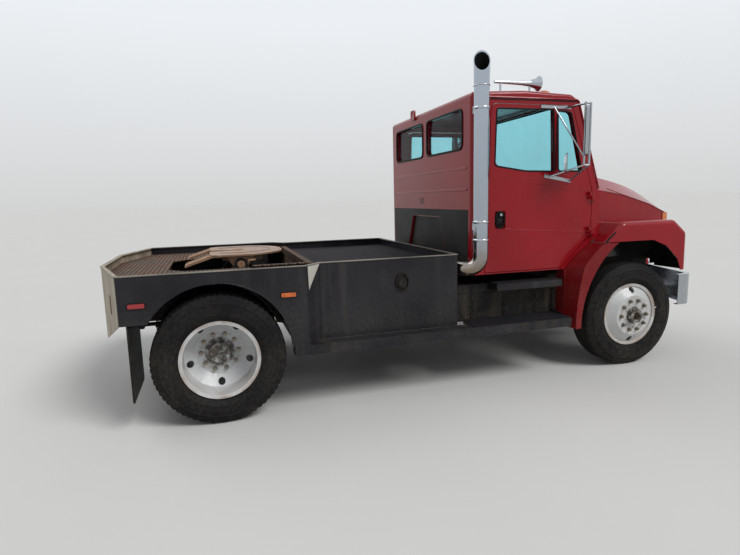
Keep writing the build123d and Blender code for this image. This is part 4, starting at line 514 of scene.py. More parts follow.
@dataclass(frozen=True)
class Lens(Finish):
    """Moulded lamp lens, coloured through, with moulded flutes.

    Args:
        tone: The lens.
        glow: Strength of a little inner light.
        rear_tone: The lenses behind the rear axle, where they differ.
    """

    tone: Colour
    glow: float = 0.02
    rear_tone: Colour | None = None

    def wire(self, wiring: Wiring, shader: bpy.types.Node) -> None:
        """Wire the flutes and a little inner light."""
        flutes = wiring.node("TexWave", {"Vector": wiring.place(), "Scale": 60.0, "Distortion": 0.0})
        drift = wiring.ramp(wiring.noise(30.0, 2.0), 0.3, 0.7)
        deep = tuple(channel * 0.55 for channel in self.tone[:3]) + (1.0,)
        tone = wiring.mix(drift, deep, self.tone)
        if self.rear_tone:
            tone = wiring.mix(wiring.ramp(wiring.along("X"), RA - 0.1, RA + 0.1), self.rear_tone, tone)
        self.join(wiring, shader, "Base Color", tone)
        self.join(wiring, shader, "Emission Color", tone)
        self.fix(shader, {"Emission Strength": self.glow, "Roughness": 0.16, "Coat Weight": 0.8})
        self.bump(wiring, shader, flutes.outputs["Fac"], 0.4, 0.0012)


@dataclass(frozen=True)
class Cloth(Finish):
    """Woven seat cloth."""

    tone: Colour
    thread: Colour

    def wire(self, wiring: Wiring, shader: bpy.types.Node) -> None:
        """Wire a plain weave from two crossing bands."""
        across = wiring.node("TexWave", {"Vector": wiring.place(), "Scale": 90.0, "Distortion": 0.6},
                             bands_direction="Y")
        along = wiring.node("TexWave", {"Vector": wiring.place(), "Scale": 90.0, "Distortion": 0.6},
                            bands_direction="Z")
        weave = wiring.math("MULTIPLY", across.outputs["Fac"], along.outputs["Fac"])
        worn = wiring.ramp(wiring.noise(4.0, 4.0), 0.3, 0.75)
        tone = wiring.mix(weave, self.tone, self.thread)
        self.join(wiring, shader, "Base Color", wiring.mix(wiring.math("MULTIPLY", worn, 0.25), tone, DUST_TONE))
        self.fix(shader, {"Roughness": 0.92, "Sheen Weight": 0.3})
        self.bump(wiring, shader, weave, 0.5, 0.001)


@dataclass(frozen=True)
class TreadPlate(Finish):
    """Rusty raised-lug steel plate underfoot, rubbed bright on the lugs."""

    base: Colour
    rub: Colour
    rust: float = 0.5
    pitch: float = 0.036

    def wire(self, wiring: Wiring, shader: bpy.types.Node) -> None:
        """Wire the lozenges, the rust blooms and the rubbed patches."""
        raised = LOZENGE.placed(wiring, pitch=self.pitch)["Mask"]
        blooms = wiring.ramp(wiring.noise(2.6, 7.0), 0.40, 0.62)
        specks = wiring.ramp(wiring.noise(46.0, 4.0), 0.40, 0.62)
        rust = wiring.math("MULTIPLY", blooms, self.rust)
        tone = wiring.mix(rust, self.base, RUST_TONE)
        share = wiring.math("MULTIPLY", raised, wiring.ramp(specks, 0.0, 1.0, 0.45, 0.95))
        self.join(wiring, shader, "Base Color", wiring.mix(share, tone, self.rub))
        self.join(wiring, shader, "Roughness", wiring.ramp(share, 0.0, 1.0, 0.85, 0.5))
        self.join(wiring, shader, "Metallic", wiring.math("MULTIPLY", share, 0.25))
        self.fix(shader, {"Specular IOR Level": 0.15})
        self.bump(wiring, shader, raised, 0.8, 0.0025)


@dataclass(frozen=True)
class WheelPaint(Finish):
    """Wheel enamel with grease round the hub and rust at the rim's edge.

    Args:
        tone: The enamel.
        hub_x: Place of the axle along X.
        greasy: Radius within which the hub is greasy.
    """

    tone: Colour
    hub_x: float
    greasy: float

    def wire(self, wiring: Wiring, shader: bpy.types.Node) -> None:
        """Wire grease, rust and dust by their distance from the axle."""
        reach = wiring.reach(self.hub_x, AXLE_Z)
        blots = wiring.noise(26.0, 5.0)
        hub = wiring.ramp(reach, self.greasy + 0.012, self.greasy - 0.004)
        grease = wiring.math("MULTIPLY", hub, wiring.ramp(blots, 0.36, 0.52, 0.30, 1.0))
        near = wiring.ramp(reach, 0.185, 0.110)
        smear = wiring.math("MULTIPLY", near, wiring.ramp(blots, 0.48, 0.66, 0.0, 0.75))
        edge = wiring.ramp(reach, 0.262, 0.292)
        rust = wiring.math("MULTIPLY", edge, wiring.ramp(wiring.noise(6.0, 5.0), 0.36, 0.62, 0.05, 0.75))
        drift = wiring.ramp(wiring.noise(3.0, 4.0), 0.3, 0.7)
        worn = tuple(channel * 0.72 for channel in self.tone[:3]) + (1.0,)
        tone = wiring.mix(drift, self.tone, worn)
        tone = wiring.mix(rust, tone, RIM_RUST_TONE)
        tone = wiring.mix(wiring.math("MAXIMUM", grease, smear), tone, GREASE_TONE)
        dust = DUST.placed(wiring, amount=0.35, top=1.0, fade=0.9)["Mask"]
        self.join(wiring, shader, "Base Color", wiring.mix(dust, tone, DUST_TONE))
        self.join(wiring, shader, "Roughness", wiring.ramp(grease, 0.0, 1.0, 0.42, 0.30))
        self.fix(shader, {"Coat Weight": 0.15})
        self.bump(wiring, shader, blots, 0.15, 0.0012)


class Stock:
    """The finishes in use, by what they cover."""

    cab_red = Paint("cab_red", shade(132, 4, 18), shade(146, 8, 24), rough=0.22, coat=0.42, dust=0.05,
                    streaks=0.02)
    # The cab red with painted shade on the hood's inner faces and over the front wheels.
    hood_red = replace(cab_red, title="hood_red", shaded_inside=True)
    # A darker copy of the cab red for the fender quarters: painted shade under the fender, with more dust as well.
    cab_red_low = Paint("cab_red_low", shade(108, 6, 14), shade(128, 14, 22), rough=0.30, coat=0.25, dust=0.14,
                        streaks=0.04, shaded_inside=True)
    cab_trim = Paint("cab_trim", shade(58, 56, 60), shade(84, 80, 82), rough=0.6, coat=0.1)
    bed_black = Paint("bed_black", shade(22, 22, 27), shade(36, 36, 41), rough=0.36, coat=0.20,
                      dust=0.09, chips=-0.01, streaks=0.06, tail=True)
    # Light grey of the rolled cap edge: worn paint and a painted highlight.
    bed_worn = Paint("bed_worn", shade(84, 82, 80), shade(150, 146, 138), rough=0.6, coat=0.0,
                     dust=0.5, dust_top=2.2, chips=0.05)
    chassis_black = Paint("chassis_black", shade(20, 20, 22), shade(34, 33, 33), rough=0.6, coat=0.0,
                          dust=0.12)
    deck_plate = TreadPlate("deck_plate", shade(62, 54, 49), shade(176, 152, 130), rust=0.30)
    step_plate = TreadPlate("step_plate", shade(20, 20, 24), shade(56, 56, 60), rust=0.04)
    chrome = Metal("chrome", shade(184, 189, 196), rough=0.07, dust=0.12, rust=-0.14)
    bumper_chrome = Metal("bumper_chrome", shade(176, 180, 186), rough=0.12, dust=0.3, rust=-0.08)
    mirror_steel = Metal("mirror_steel", shade(172, 176, 180), rough=0.22, dust=0.1)
    stack_steel = Metal("stack_steel", shade(178, 186, 196), rough=0.07, dust=0.08, rust=-0.14, scorch_top=1.08)
    soot = Rubber("soot", shade(7, 7, 8), rough=0.95, dust=0.0)
    engine_grey = Metal("engine_grey", shade(92, 90, 88), rough=0.5, metallic=0.5, dust=0.6, rust=0.0)
    coupling_steel = Metal("coupling_steel", shade(154, 122, 98), rough=0.42, metallic=0.5, dust=0.35,
                           rust=0.11, relief=0.001)
    wheel_white = WheelPaint("wheel_white", shade(206, 207, 206), FA, 0.078)
    # A lighter copy of the wheel enamel for the rear discs: painted light against the shade in their deep dish.
    wheel_white_rear = WheelPaint("wheel_white_rear", shade(214, 216, 218), RA, 0.114)
    tyre = Rubber("tyre", shade(22, 22, 24), dust=0.07)
    flap_rubber = Rubber("flap_rubber", shade(14, 14, 16), rough=0.35, dust=0.12)
    seal = Rubber("seal", shade(18, 18, 20), rough=0.5, dust=0.1)
    side_glass = Glass("side_glass", shade(188, 243, 250))
    cab_glass = Glass("cab_glass", shade(212, 240, 244))
    amber_lens = Lens("amber_lens", shade(222, 112, 12))
    marker_lens = Lens("marker_lens", shade(214, 100, 12), rear_tone=shade(150, 12, 20))
    red_lens = Lens("red_lens", shade(170, 18, 22))
    lamp_glass = Lens("lamp_glass", shade(210, 214, 216))
    bolt_steel = Metal("bolt_steel", shade(132, 124, 114), rough=0.45, dust=0.5, rust=0.05)
    mirror_glass = Metal("mirror_glass", shade(214, 222, 226), rough=0.03, dust=0.05, rust=-0.3, relief=0.0)
    bare_plate = Metal("bare_plate", shade(196, 192, 182), rough=0.5, metallic=0.3, dust=0.3, rust=-0.02)
    grease = Rubber("grease", shade(40, 32, 26), dirt=shade(92, 72, 52), rough=0.35, dust=0.3)
    post_grey = Paint("post_grey", shade(76, 74, 72), shade(96, 92, 88), rough=0.6, coat=0.0, dust=0.3)
    box_dark = Rubber("box_dark", shade(18, 18, 21), rough=0.45, dust=0.2)
    blank_plate = Paint("blank_plate", shade(206, 206, 202), shade(216, 216, 212), rough=0.45, coat=0.2)
    gauge_face = Metal("gauge_face", shade(70, 72, 76), rough=0.3, dust=0.0, rust=-0.3)
    seat_cloth = Cloth("seat_cloth", shade(74, 76, 82), shade(112, 114, 120))


def dress(node: str, finish: Finish) -> None:
    """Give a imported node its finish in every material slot."""
    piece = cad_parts[node]
    piece.data.materials.clear()
    piece.data.materials.append(finish.material())
    log.info("dressed %s with %s", node, finish.title)


NODE_FINISHES: dict[str, Finish] = {
    "frame_rails": Stock.chassis_black,
    "front_bumper": Stock.bumper_chrome,
    "engine": Stock.engine_grey,
    "driveline": Stock.engine_grey,
    "rear_axle": Stock.chassis_black,
    "front_axle": Stock.chassis_black,
    "leaf_springs": Stock.chassis_black,
    "bed_walls": Stock.bed_black,
    "bed_deck": Stock.deck_plate,
    "bed_boxes": Stock.bed_black,
    "coupling_base": Stock.chassis_black,
    "side_steps": Stock.bed_black,
    "battery_boxes": Stock.chassis_black,
    "mud_flaps": Stock.flap_rubber,
    "exhaust_stack": Stock.stack_steel,
    "cab_sides": Stock.cab_red,
    "cab_back": Stock.cab_red,
    "cab_floor": Stock.chassis_black,
    "cab_front": Stock.cab_red,
    "cab_roof": Stock.cab_red,
    "cab_glass": Stock.cab_glass,
    "dashboard": Stock.cab_trim,
    "seats": Stock.seat_cloth,
    "fender_quarters": Stock.cab_red_low,
    "roof_lamps": Stock.amber_lens,
    "air_horn": Stock.chrome,
    "marker_lamps": Stock.marker_lens,
    "tail_lamps": Stock.red_lens,
    "hood_shell": Stock.hood_red,
    "grille": Stock.bumper_chrome,
    "headlamps": Stock.lamp_glass,
    "corner_lamps": Stock.amber_lens,
    "tie_rod": Stock.chassis_black,
    "coupling_plate": Stock.coupling_steel,
}
SIDE_FINISHES: dict[str, Finish] = {
    "door": Stock.cab_red,
    "door_glass": Stock.side_glass,
    "door_mirror": Stock.mirror_steel,
    "knuckle": Stock.chassis_black,
    "front_tyre": Stock.tyre,
    "front_wheel": Stock.wheel_white,
    "rear_tyres": Stock.tyre,
    "rear_wheels": Stock.wheel_white_rear,
}


@dataclass
class Studio:
    """Floor, soft light and the camera at the photograph's viewing angle."""

    eye: Point = (-1.9152, -5.1116, 1.6637)
    yaw: float = 73.353
    pitch: float = -8.610
    roll: float = -1.456
    lens: float = 25.322
    floor_half: float = 400.0
    floor_tones: tuple[Colour, Colour] = (shade(206, 205, 202), shade(212, 211, 208))
    ambient: float = 0.50
    horizon: Colour = shade(211, 212, 212)
    zenith: Colour = shade(236, 240, 244)
    lamps: tuple[tuple[str, Point, float, float], ...] = (
        ("key", (-0.45, 0.62, -0.80), 1.9, 26.0), ("fill", (0.60, -0.55, -0.75), 0.6, 40.0))

    def build(self) -> None:
        """Make the floor, the world, the lamps and the camera."""
        self.floor()
        self.sky()
        for lamp in self.lamps:
            self.lamp(*lamp)
        self.camera()

    def floor(self) -> None:
        """Pale plain floor."""
        deselect()
        bpy.ops.mesh.primitive_plane_add(size=2 * self.floor_half)
        floor = bpy.context.object
        floor.name = "studio_floor"
        made = bpy.data.materials.new("studio_floor")
        made.use_nodes = True
        shader = made.node_tree.nodes["Principled BSDF"]
        wiring = Wiring(made.node_tree)
        tone = wiring.mix(wiring.noise(0.6, 3.0), *self.floor_tones)
        made.node_tree.links.new(tone, shader.inputs["Base Color"])
        shader.inputs["Roughness"].default_value = 0.9
        shader.inputs["Specular IOR Level"].default_value = 0.1
        floor.data.materials.append(made)

    def sky(self) -> None:
        """Soft world light, pale to the camera and in reflections."""
        world = bpy.data.worlds.new("studio")
        world.use_nodes = True
        bpy.context.scene.world = world
        wiring = Wiring(world.node_tree)
        world.node_tree.nodes.clear()
        path = wiring.node("LightPath")
        seen = wiring.math("MAXIMUM", path.outputs["Is Camera Ray"], path.outputs["Is Glossy Ray"])
        seen = wiring.math("MAXIMUM", seen, path.outputs["Is Transmission Ray"])
        power = wiring.ramp(seen, 0.0, 1.0, self.ambient, 1.0)
        rise = wiring.node("SeparateXYZ", {0: wiring.node("TexCoord").outputs["Generated"]}).outputs["Z"]
        tone = wiring.mix(wiring.ramp(rise, 0.0, 0.30), self.horizon, self.zenith)
        back = wiring.node("Background", {"Color": tone, "Strength": power})
        wiring.node("OutputWorld", {"Surface": back.outputs[0]})

    def lamp(self, name: str, toward: Point, power: float, spread: float) -> None:
        """Add one soft lamp as far off as the sun.

        Args:
            name: The lamp's name.
            toward: The way its light goes.
            power: Its strength.
            spread: How wide it looks, in degrees.
        """
        deselect()
        bpy.ops.object.light_add(type="SUN", location=(0.0, 0.0, 12.0))
        lamp = bpy.context.object
        lamp.name = "studio_" + name
        lamp.data.angle = math.radians(spread)
        lamp.data.energy = power
        lamp.rotation_euler = Vector(toward).to_track_quat("-Z", "Y").to_euler()

    def camera(self) -> None:
        """Camera at the place and angle that the photograph was taken from."""
        yaw, pitch, roll = (math.radians(angle) for angle in (self.yaw, self.pitch, self.roll))
        ahead = Vector((math.cos(pitch) * math.cos(yaw), math.cos(pitch) * math.sin(yaw), math.sin(pitch)))
        right = ahead.cross(Vector(Axis.Z.value)).normalized()
        up = right.cross(ahead)
        leaned_right = right * math.cos(roll) + up * math.sin(roll)
        leaned_up = up * math.cos(roll) - right * math.sin(roll)
        turn = Matrix((leaned_right, leaned_up, -ahead)).transposed()
        deselect()
        bpy.ops.object.camera_add(location=self.eye)
        camera = bpy.context.object
        camera.name = "studio_camera"
        camera.rotation_euler = turn.to_euler()
        camera.data.sensor_width = 36.0
        camera.data.lens = self.lens
        camera.data.clip_end = 2000.0
        bpy.context.scene.camera = camera


def deselect() -> None:
    """Leave edit mode and select nothing."""
    if bpy.context.mode != "OBJECT":
        bpy.ops.object.mode_set(mode="OBJECT")
    bpy.ops.object.select_all(action="DESELECT")


def place(points: Sequence[Point], side: Side = Side.LEFT, axle: float = RA) -> list[Point]:
    """Points given from an axle for the left, put in their place on one side.

    Args:
        points: The points, along X from the axle, along Y to the left and along Z from the ground.
        side: The side that they are wanted on.
        axle: Where the axle stands along X.

    Returns:
        The points in the truck's frame.
    """
    return [(axle + ahead, side.value * out, up) for ahead, out, up in points]


def boxed(corners: Box, side: Side = Side.LEFT, axle: float = RA) -> Box:
    """A block's lowest and highest corner, given and put in place as points are."""
    low, high = corners
    if side is Side.RIGHT:
        low, high = (low[0], high[1], low[2]), (high[0], low[1], high[2])
    first, last = place((low, high), side, axle)
    return first, last


def arc(centre: Pair, radius: float, start: float, end: float, count: int) -> list[Pair]:
    """Points of an arc from start to end degrees, both included."""
    turns = [math.radians(start + (end - start) * step / (count - 1)) for step in range(count)]
    return [(centre[0] + radius * math.cos(turn), centre[1] + radius * math.sin(turn)) for turn in turns]


def rounded(points: Sequence[Point], bend: float, closed: bool, steps: int = 4) -> list[Vector]:
    """Corner points with a smooth bend in place of each corner.

    Args:
        points: The corners.
        bend: How far before a corner its bend starts.
        closed: Whether the last corner is joined to the first.
        steps: Steps of one bend.

    Returns:
        The points of the line, bends and all.
    """
    spots = [Vector(point) for point in points]
    line = []
    for index, spot in enumerate(spots):
        if not closed and index in (0, len(spots) - 1):
            line.append(spot)
            continue
        before, after = spots[index - 1] - spot, spots[(index + 1) % len(spots)] - spot
        start = spot + before.normalized() * min(bend, before.length * LONGEST_BEND)
        end = spot + after.normalized() * min(bend, after.length * LONGEST_BEND)
        for step in range(steps + 1):
            share = step / steps
            line.append(start.lerp(spot, share).lerp(spot.lerp(end, share), share))
    return line


class Bench:
    """A piece on the bench, worked in edit mode from a plain start.

    Args:
        name: The finished piece's name.
    """

    def __init__(self, name: str) -> None:
        self.name = name

    def edit(self) -> "Bench":
        """Settle the start in place and open it in edit mode, all selected."""
        bpy.ops.object.transform_apply(location=True, rotation=True, scale=True)
        bpy.ops.object.mode_set(mode="EDIT")
        bpy.ops.mesh.select_mode(type="VERT")
        return self.all()

    def all(self) -> "Bench":
        """Select everything."""
        bpy.ops.mesh.select_all(action="SELECT")
        return self

    def block(self, low: Point, high: Point) -> "Bench":
        """Start from a block between two corners."""
        deselect()
        bpy.ops.mesh.primitive_cube_add(size=1.0, location=(Vector(low) + Vector(high)) / 2)
        bpy.context.object.scale = Vector(high) - Vector(low)
        return self.edit()

    def disc(self, centre: Point, radius: float, facing: Point, sides: int = 32) -> "Bench":
        """Start from a flat round face that looks along facing."""
        deselect()
        turn = Vector(facing).to_track_quat("Z", "Y").to_euler()
        bpy.ops.mesh.primitive_circle_add(vertices=sides, radius=radius, fill_type="NGON",
                                          location=centre, rotation=turn)
        return self.edit()

    def line(self, points: Sequence[Point], closed: bool = False) -> "Bench":
        """Start from a line drawn corner by corner."""
        deselect()
        bpy.ops.mesh.primitive_plane_add(size=0.02, location=points[0])
        self.edit()
        bpy.ops.mesh.merge(type="CENTER")
        for start, end in zip(points, points[1:]):
            bpy.ops.mesh.extrude_vertices_move(TRANSFORM_OT_translate={"value": Vector(end) - Vector(start)})
        if closed:
            ends = (Vector(points[0]), Vector(points[-1]))
            self.pick("VERT", "verts", lambda vert: min((vert.co - end).length for end in ends) < 1e-4)
            bpy.ops.mesh.edge_face_add()
        return self.all()

    def outline(self, points: Sequence[Point]) -> "Bench":
        """Start from a flat face drawn corner by corner."""
        self.line(points, closed=True)
        bpy.ops.mesh.edge_face_add()
        return self

    def rod(self, points: Sequence[Point], radius: float, bend: float = 0.0, closed: bool = False,
            fine: int = 2) -> "Bench":
        """Start from a round rod along corner points.

        Args:
            points: Its corners.
            radius: Its radius.
            bend: How far before a corner its bend starts.
            closed: Whether the last point joins the first.
            fine: How finely the section is rounded.
        """
        self.line(rounded(points, bend, closed) if bend else points, closed)
        bpy.ops.object.mode_set(mode="OBJECT")
        bpy.ops.object.convert(target="CURVE")
        curve = bpy.context.object.data
        curve.bevel_depth = radius
        curve.bevel_resolution = fine
        curve.use_fill_caps = not closed
        bpy.ops.object.convert(target="MESH")
        bpy.ops.object.mode_set(mode="EDIT")
        return self.all()

    def pick(self, mode: str, parts: str, test: Callable[[object], bool]) -> "Bench":
        """Select only the corners, edges or faces that pass a test."""
        bpy.ops.mesh.select_all(action="DESELECT")
        bpy.ops.mesh.select_mode(type=mode)
        mesh = bmesh.from_edit_mesh(bpy.context.object.data)
        mesh.normal_update()
        for part in getattr(mesh, parts):
            if test(part):
                part.select_set(True)
        mesh.select_flush_mode()
        bmesh.update_edit_mesh(bpy.context.object.data)
        return self

    def faces(self, test: Callable[[Vector, Vector], bool]) -> "Bench":
        """Select only the faces whose middle and normal pass the test."""
        return self.pick("FACE", "faces", lambda face: test(face.calc_center_median(), face.normal))

    def facing(self, way: Point) -> "Bench":
        """Select only the faces that look one way."""
        return self.faces(lambda middle, normal: normal.dot(Vector(way)) > ALIGNED)

    def eased(self, axis: Axis, rounding: Rounding) -> "Bench":
        """Round off the edges that run along one axis."""

        def lies_along(edge: bmesh.types.BMEdge) -> bool:
            """Whether an edge runs along the axis."""
            run = (edge.verts[1].co - edge.verts[0].co).normalized()
            return abs(run.dot(Vector(axis.value))) > ALIGNED

        return self.pick("EDGE", "edges", lies_along).bevel(*rounding)

    def extrude(self, move: Point) -> "Bench":
        """Extrude what is selected and move it."""
        bpy.ops.mesh.extrude_region_move(TRANSFORM_OT_translate={"value": move})
        return self

    def inset(self, width: float, depth: float = 0.0) -> "Bench":
        """Inset the selected faces, sunk or raised by depth."""
        bpy.ops.mesh.inset(thickness=width, depth=depth, use_even_offset=True)
        return self

    def stepped(self, way: Point, steps: Steps) -> "Bench":
        """Raise or sink the selected face in steps.

        Args:
            way: The way that it rises, of length one.
            steps: How far each step is inset and how far it then rises.
        """
        for width, rise in steps:
            if width:
                self.inset(width)
            self.extrude(Vector(way) * rise)
        return self

    def bevel(self, width: float, segments: int = 2) -> "Bench":
        """Bevel the selected edges."""
        bpy.ops.mesh.bevel(offset=width, segments=segments, affect="EDGES", clamp_overlap=True)
        return self

    def scaled(self, value: Point, centre: Point) -> "Bench":
        """Scale what is selected about a point."""
        bpy.ops.transform.resize(value=value, center_override=centre)
        return self

    def turned(self, degrees: float, axis: str, centre: Point) -> "Bench":
        """Turn what is selected about a point."""
        bpy.ops.transform.rotate(value=math.radians(degrees), orient_axis=axis, center_override=centre)
        return self

    def row(self, count: int, pitch: Point) -> "Bench":
        """Copy what is selected along a row until there are count of it."""
        for _ in range(count - 1):
            bpy.ops.mesh.duplicate_move(TRANSFORM_OT_translate={"value": pitch})
        return self

    def cut(self, spot: Point, facing: Point) -> "Bench":
        """Cut off what lies beyond a plane and close the cut."""
        bpy.ops.mesh.bisect(plane_co=spot, plane_no=facing, use_fill=True, clear_outer=True)
        return self

    def ring(self, count: int, axis: str, centre: Point) -> "Bench":
        """Copy what is selected round an axis until there are count of it."""
        for _ in range(count - 1):
            bpy.ops.mesh.duplicate()
            self.turned(360.0 / count, axis, centre)
        return self

    def spin(self, centre: Point, axis: Point, steps: int) -> "Bench":
        """Spin the selected line round an axis and weld its seam."""
        bpy.ops.mesh.spin(steps=steps, angle=math.radians(360.0), center=centre, axis=axis)
        self.all()
        bpy.ops.mesh.remove_doubles(threshold=0.0001)
        return self

    def done(self, body: str, finish: Finish, smooth: float = 35.0,
             stands_for: Sequence[str] = ()) -> bpy.types.Object:
        """Close the piece, name and finish it, and hang it on its body.

        Args:
            body: The body it rides on.
            finish: Its finish.
            smooth: Edges sharper than this stay sharp, in degrees.
            stands_for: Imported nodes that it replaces.

        Returns:
            The finished piece.
        """
        self.all()
        bpy.ops.mesh.normals_make_consistent(inside=False)
        bpy.ops.object.mode_set(mode="OBJECT")
        piece = bpy.context.object
        piece.name = self.name
        piece.data.name = self.name
        bpy.ops.object.shade_smooth_by_angle(angle=math.radians(smooth))
        piece.data.materials.clear()
        piece.data.materials.append(finish.material())
        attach(piece, body)
        if stands_for:
            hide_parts(*stands_for)
        log.info("built %s on %s", self.name, body)
        return piece


@dataclass
class Tyres:
    """Six tyres with their ribs and lugs, in place of the plain rings.

    The sections are given as radius and reach from the tyre's middle.
    """

    steps: int = 132
    lug_depth: float = 0.006
    lug_radius: float = 0.4830
    lug_reach: float = 0.0395
    smooth: float = 30.0
    front_y: float = 1.009
    rear_y: Pair = (1.075, 0.745)
    wall: Outline = (
        (0.286, 0.099), (0.299, 0.103), (0.305, 0.112), (0.311, 0.1125), (0.318, 0.120), (0.332, 0.1285),
        (0.346, 0.1325), (0.350, 0.1355), (0.356, 0.1355), (0.360, 0.1345), (0.380, 0.1370), (0.402, 0.1372),
        (0.424, 0.1335), (0.428, 0.1362), (0.434, 0.1355), (0.438, 0.1310), (0.458, 0.1235), (0.474, 0.1168),
        (0.484, 0.1115), (0.492, 0.1045), (0.4955, 0.0930))
    rib_tread: Outline = (
        (0.4968, 0.0690), (0.4860, 0.0670), (0.4860, 0.0580), (0.4976, 0.0560), (0.4980, 0.0240),
        (0.4860, 0.0220), (0.4860, 0.0130), (0.4980, 0.0110))
    lug_tread: Outline = (
        (0.4970, 0.0560), (0.4974, 0.0400), (0.4850, 0.0380), (0.4850, 0.0270), (0.4980, 0.0250))

    def build(self) -> None:
        """Build the tyres of every wheel."""
        for side in Side:
            front = self.tyre(f"tyre_front_{side.word}", FA, side.value * self.front_y, self.rib_tread)
            front.done(f"front_wheel_{side.word}", Stock.tyre, self.smooth, (f"front_tyre_{side.word}",))
            for spot, y in zip(("outer", "inner"), self.rear_y):
                rear = self.tyre(f"tyre_rear_{spot}_{side.word}", RA, side.value * y, self.lug_tread)
                self.lugs(rear, RA, side.value * y)
                rear.done(f"rear_wheel_{side.word}", Stock.tyre, self.smooth, (f"rear_tyres_{side.word}",))

    def tyre(self, name: str, x: float, y: float, tread: Outline) -> Bench:
        """Draw a tyre's section and spin it round the wheel's axle."""
        half = self.wall + tread
        section = half + tuple((radius, -reach) for radius, reach in reversed(half))
        bench = Bench(name).line([(x, y + reach, AXLE_Z + radius) for radius, reach in section], closed=True)
        return bench.spin((x, y, AXLE_Z), Axis.Y.value, self.steps)

    def lugs(self, bench: Bench, x: float, y: float) -> None:
        """Cut the shoulder lugs of a driven tyre, every other step round it."""

        def between(middle: Vector, normal: Vector) -> bool:
            """Whether a face of the tread lies between two lugs."""
            radius = math.hypot(middle.x - x, middle.z - AXLE_Z)
            turn = math.degrees(math.atan2(middle.z - AXLE_Z, middle.x - x)) % 360.0
            step = int(turn / 360.0 * self.steps)
            return radius > self.lug_radius and abs(middle.y - y) > self.lug_reach and step % 2 == 0

        bench.faces(between).extrude((0.0, 0.0, 0.0))
        share = 1.0 - self.lug_depth / AXLE_Z
        bench.scaled((share, 1.0, share), (x, y, AXLE_Z))


@dataclass
class WheelFittings:
    """Nuts, cap bolts, valves and grease caps on the disc wheels.

    A wheel is given by its axle, the axle's place along X, the Y of its disc and of its hub cap,
    and the radius of its circle of cap bolts.
    """

    wheels: tuple[tuple[str, float, float, float, float], ...] = (
        ("front", FA, 1.167, 1.213, 0.052), ("rear", RA, 0.928, 0.980, 0.066))
    studs: int = 10
    stud_circle: float = 0.1429
    nut_radius: float = 0.0205
    nut_steps: Steps = ((0.0, 0.006), (0.004, 0.016), (0.004, 0.008))
    cap_bolts: int = 8
    cap_bolt_radius: float = 0.008
    cap_bolt_seat: float = 0.002
    cap_bolt_steps: Steps = ((0.0, 0.006), (0.002, 0.002))
    valve: Line = ((0.212, -0.004, 0.05), (0.226, 0.012, 0.054), (0.250, 0.016, 0.060))
    valve_radius: float = 0.0042
    valve_bend: float = 0.008
    grease_cap_y: float = 1.2125
    grease_cap_radius: float = 0.034
    grease_cap_steps: Steps = ((0.0, 0.006), (0.006, 0.004), (0.014, -0.003))

    def build(self) -> None:
        """Fit out the wheels on both sides."""
        for side in Side:
            sign, out = side.value, (0.0, side.value, 0.0)
            for axle, x, face, cap, reach in self.wheels:
                body = f"{axle}_wheel_{side.word}"
                hub = (x, sign * face, AXLE_Z)
                stud = (x + self.stud_circle, sign * face, AXLE_Z)
                Bench(f"nuts_{axle}_{side.word}").disc(stud, self.nut_radius, out, HEXAGON).stepped(
                    out, self.nut_steps).all().ring(self.studs, "Y", hub).done(body, Stock.bolt_steel)
                bolt = (x + reach, sign * (cap - self.cap_bolt_seat), AXLE_Z)
                Bench(f"cap_bolts_{axle}_{side.word}").disc(bolt, self.cap_bolt_radius, out, HEXAGON).stepped(
                    out, self.cap_bolt_steps).all().ring(self.cap_bolts, "Y", hub).done(body, Stock.bolt_steel)
                stem = [(x + ahead, sign * (face + beyond), AXLE_Z + up) for ahead, beyond, up in self.valve]
                Bench(f"valve_{axle}_{side.word}").rod(stem, self.valve_radius, self.valve_bend).done(
                    body, Stock.chrome)
            Bench(f"grease_cap_{side.word}").disc(
                (FA, sign * self.grease_cap_y, AXLE_Z), self.grease_cap_radius, out, sides=28).stepped(
                out, self.grease_cap_steps).done(f"front_wheel_{side.word}", Stock.grease)


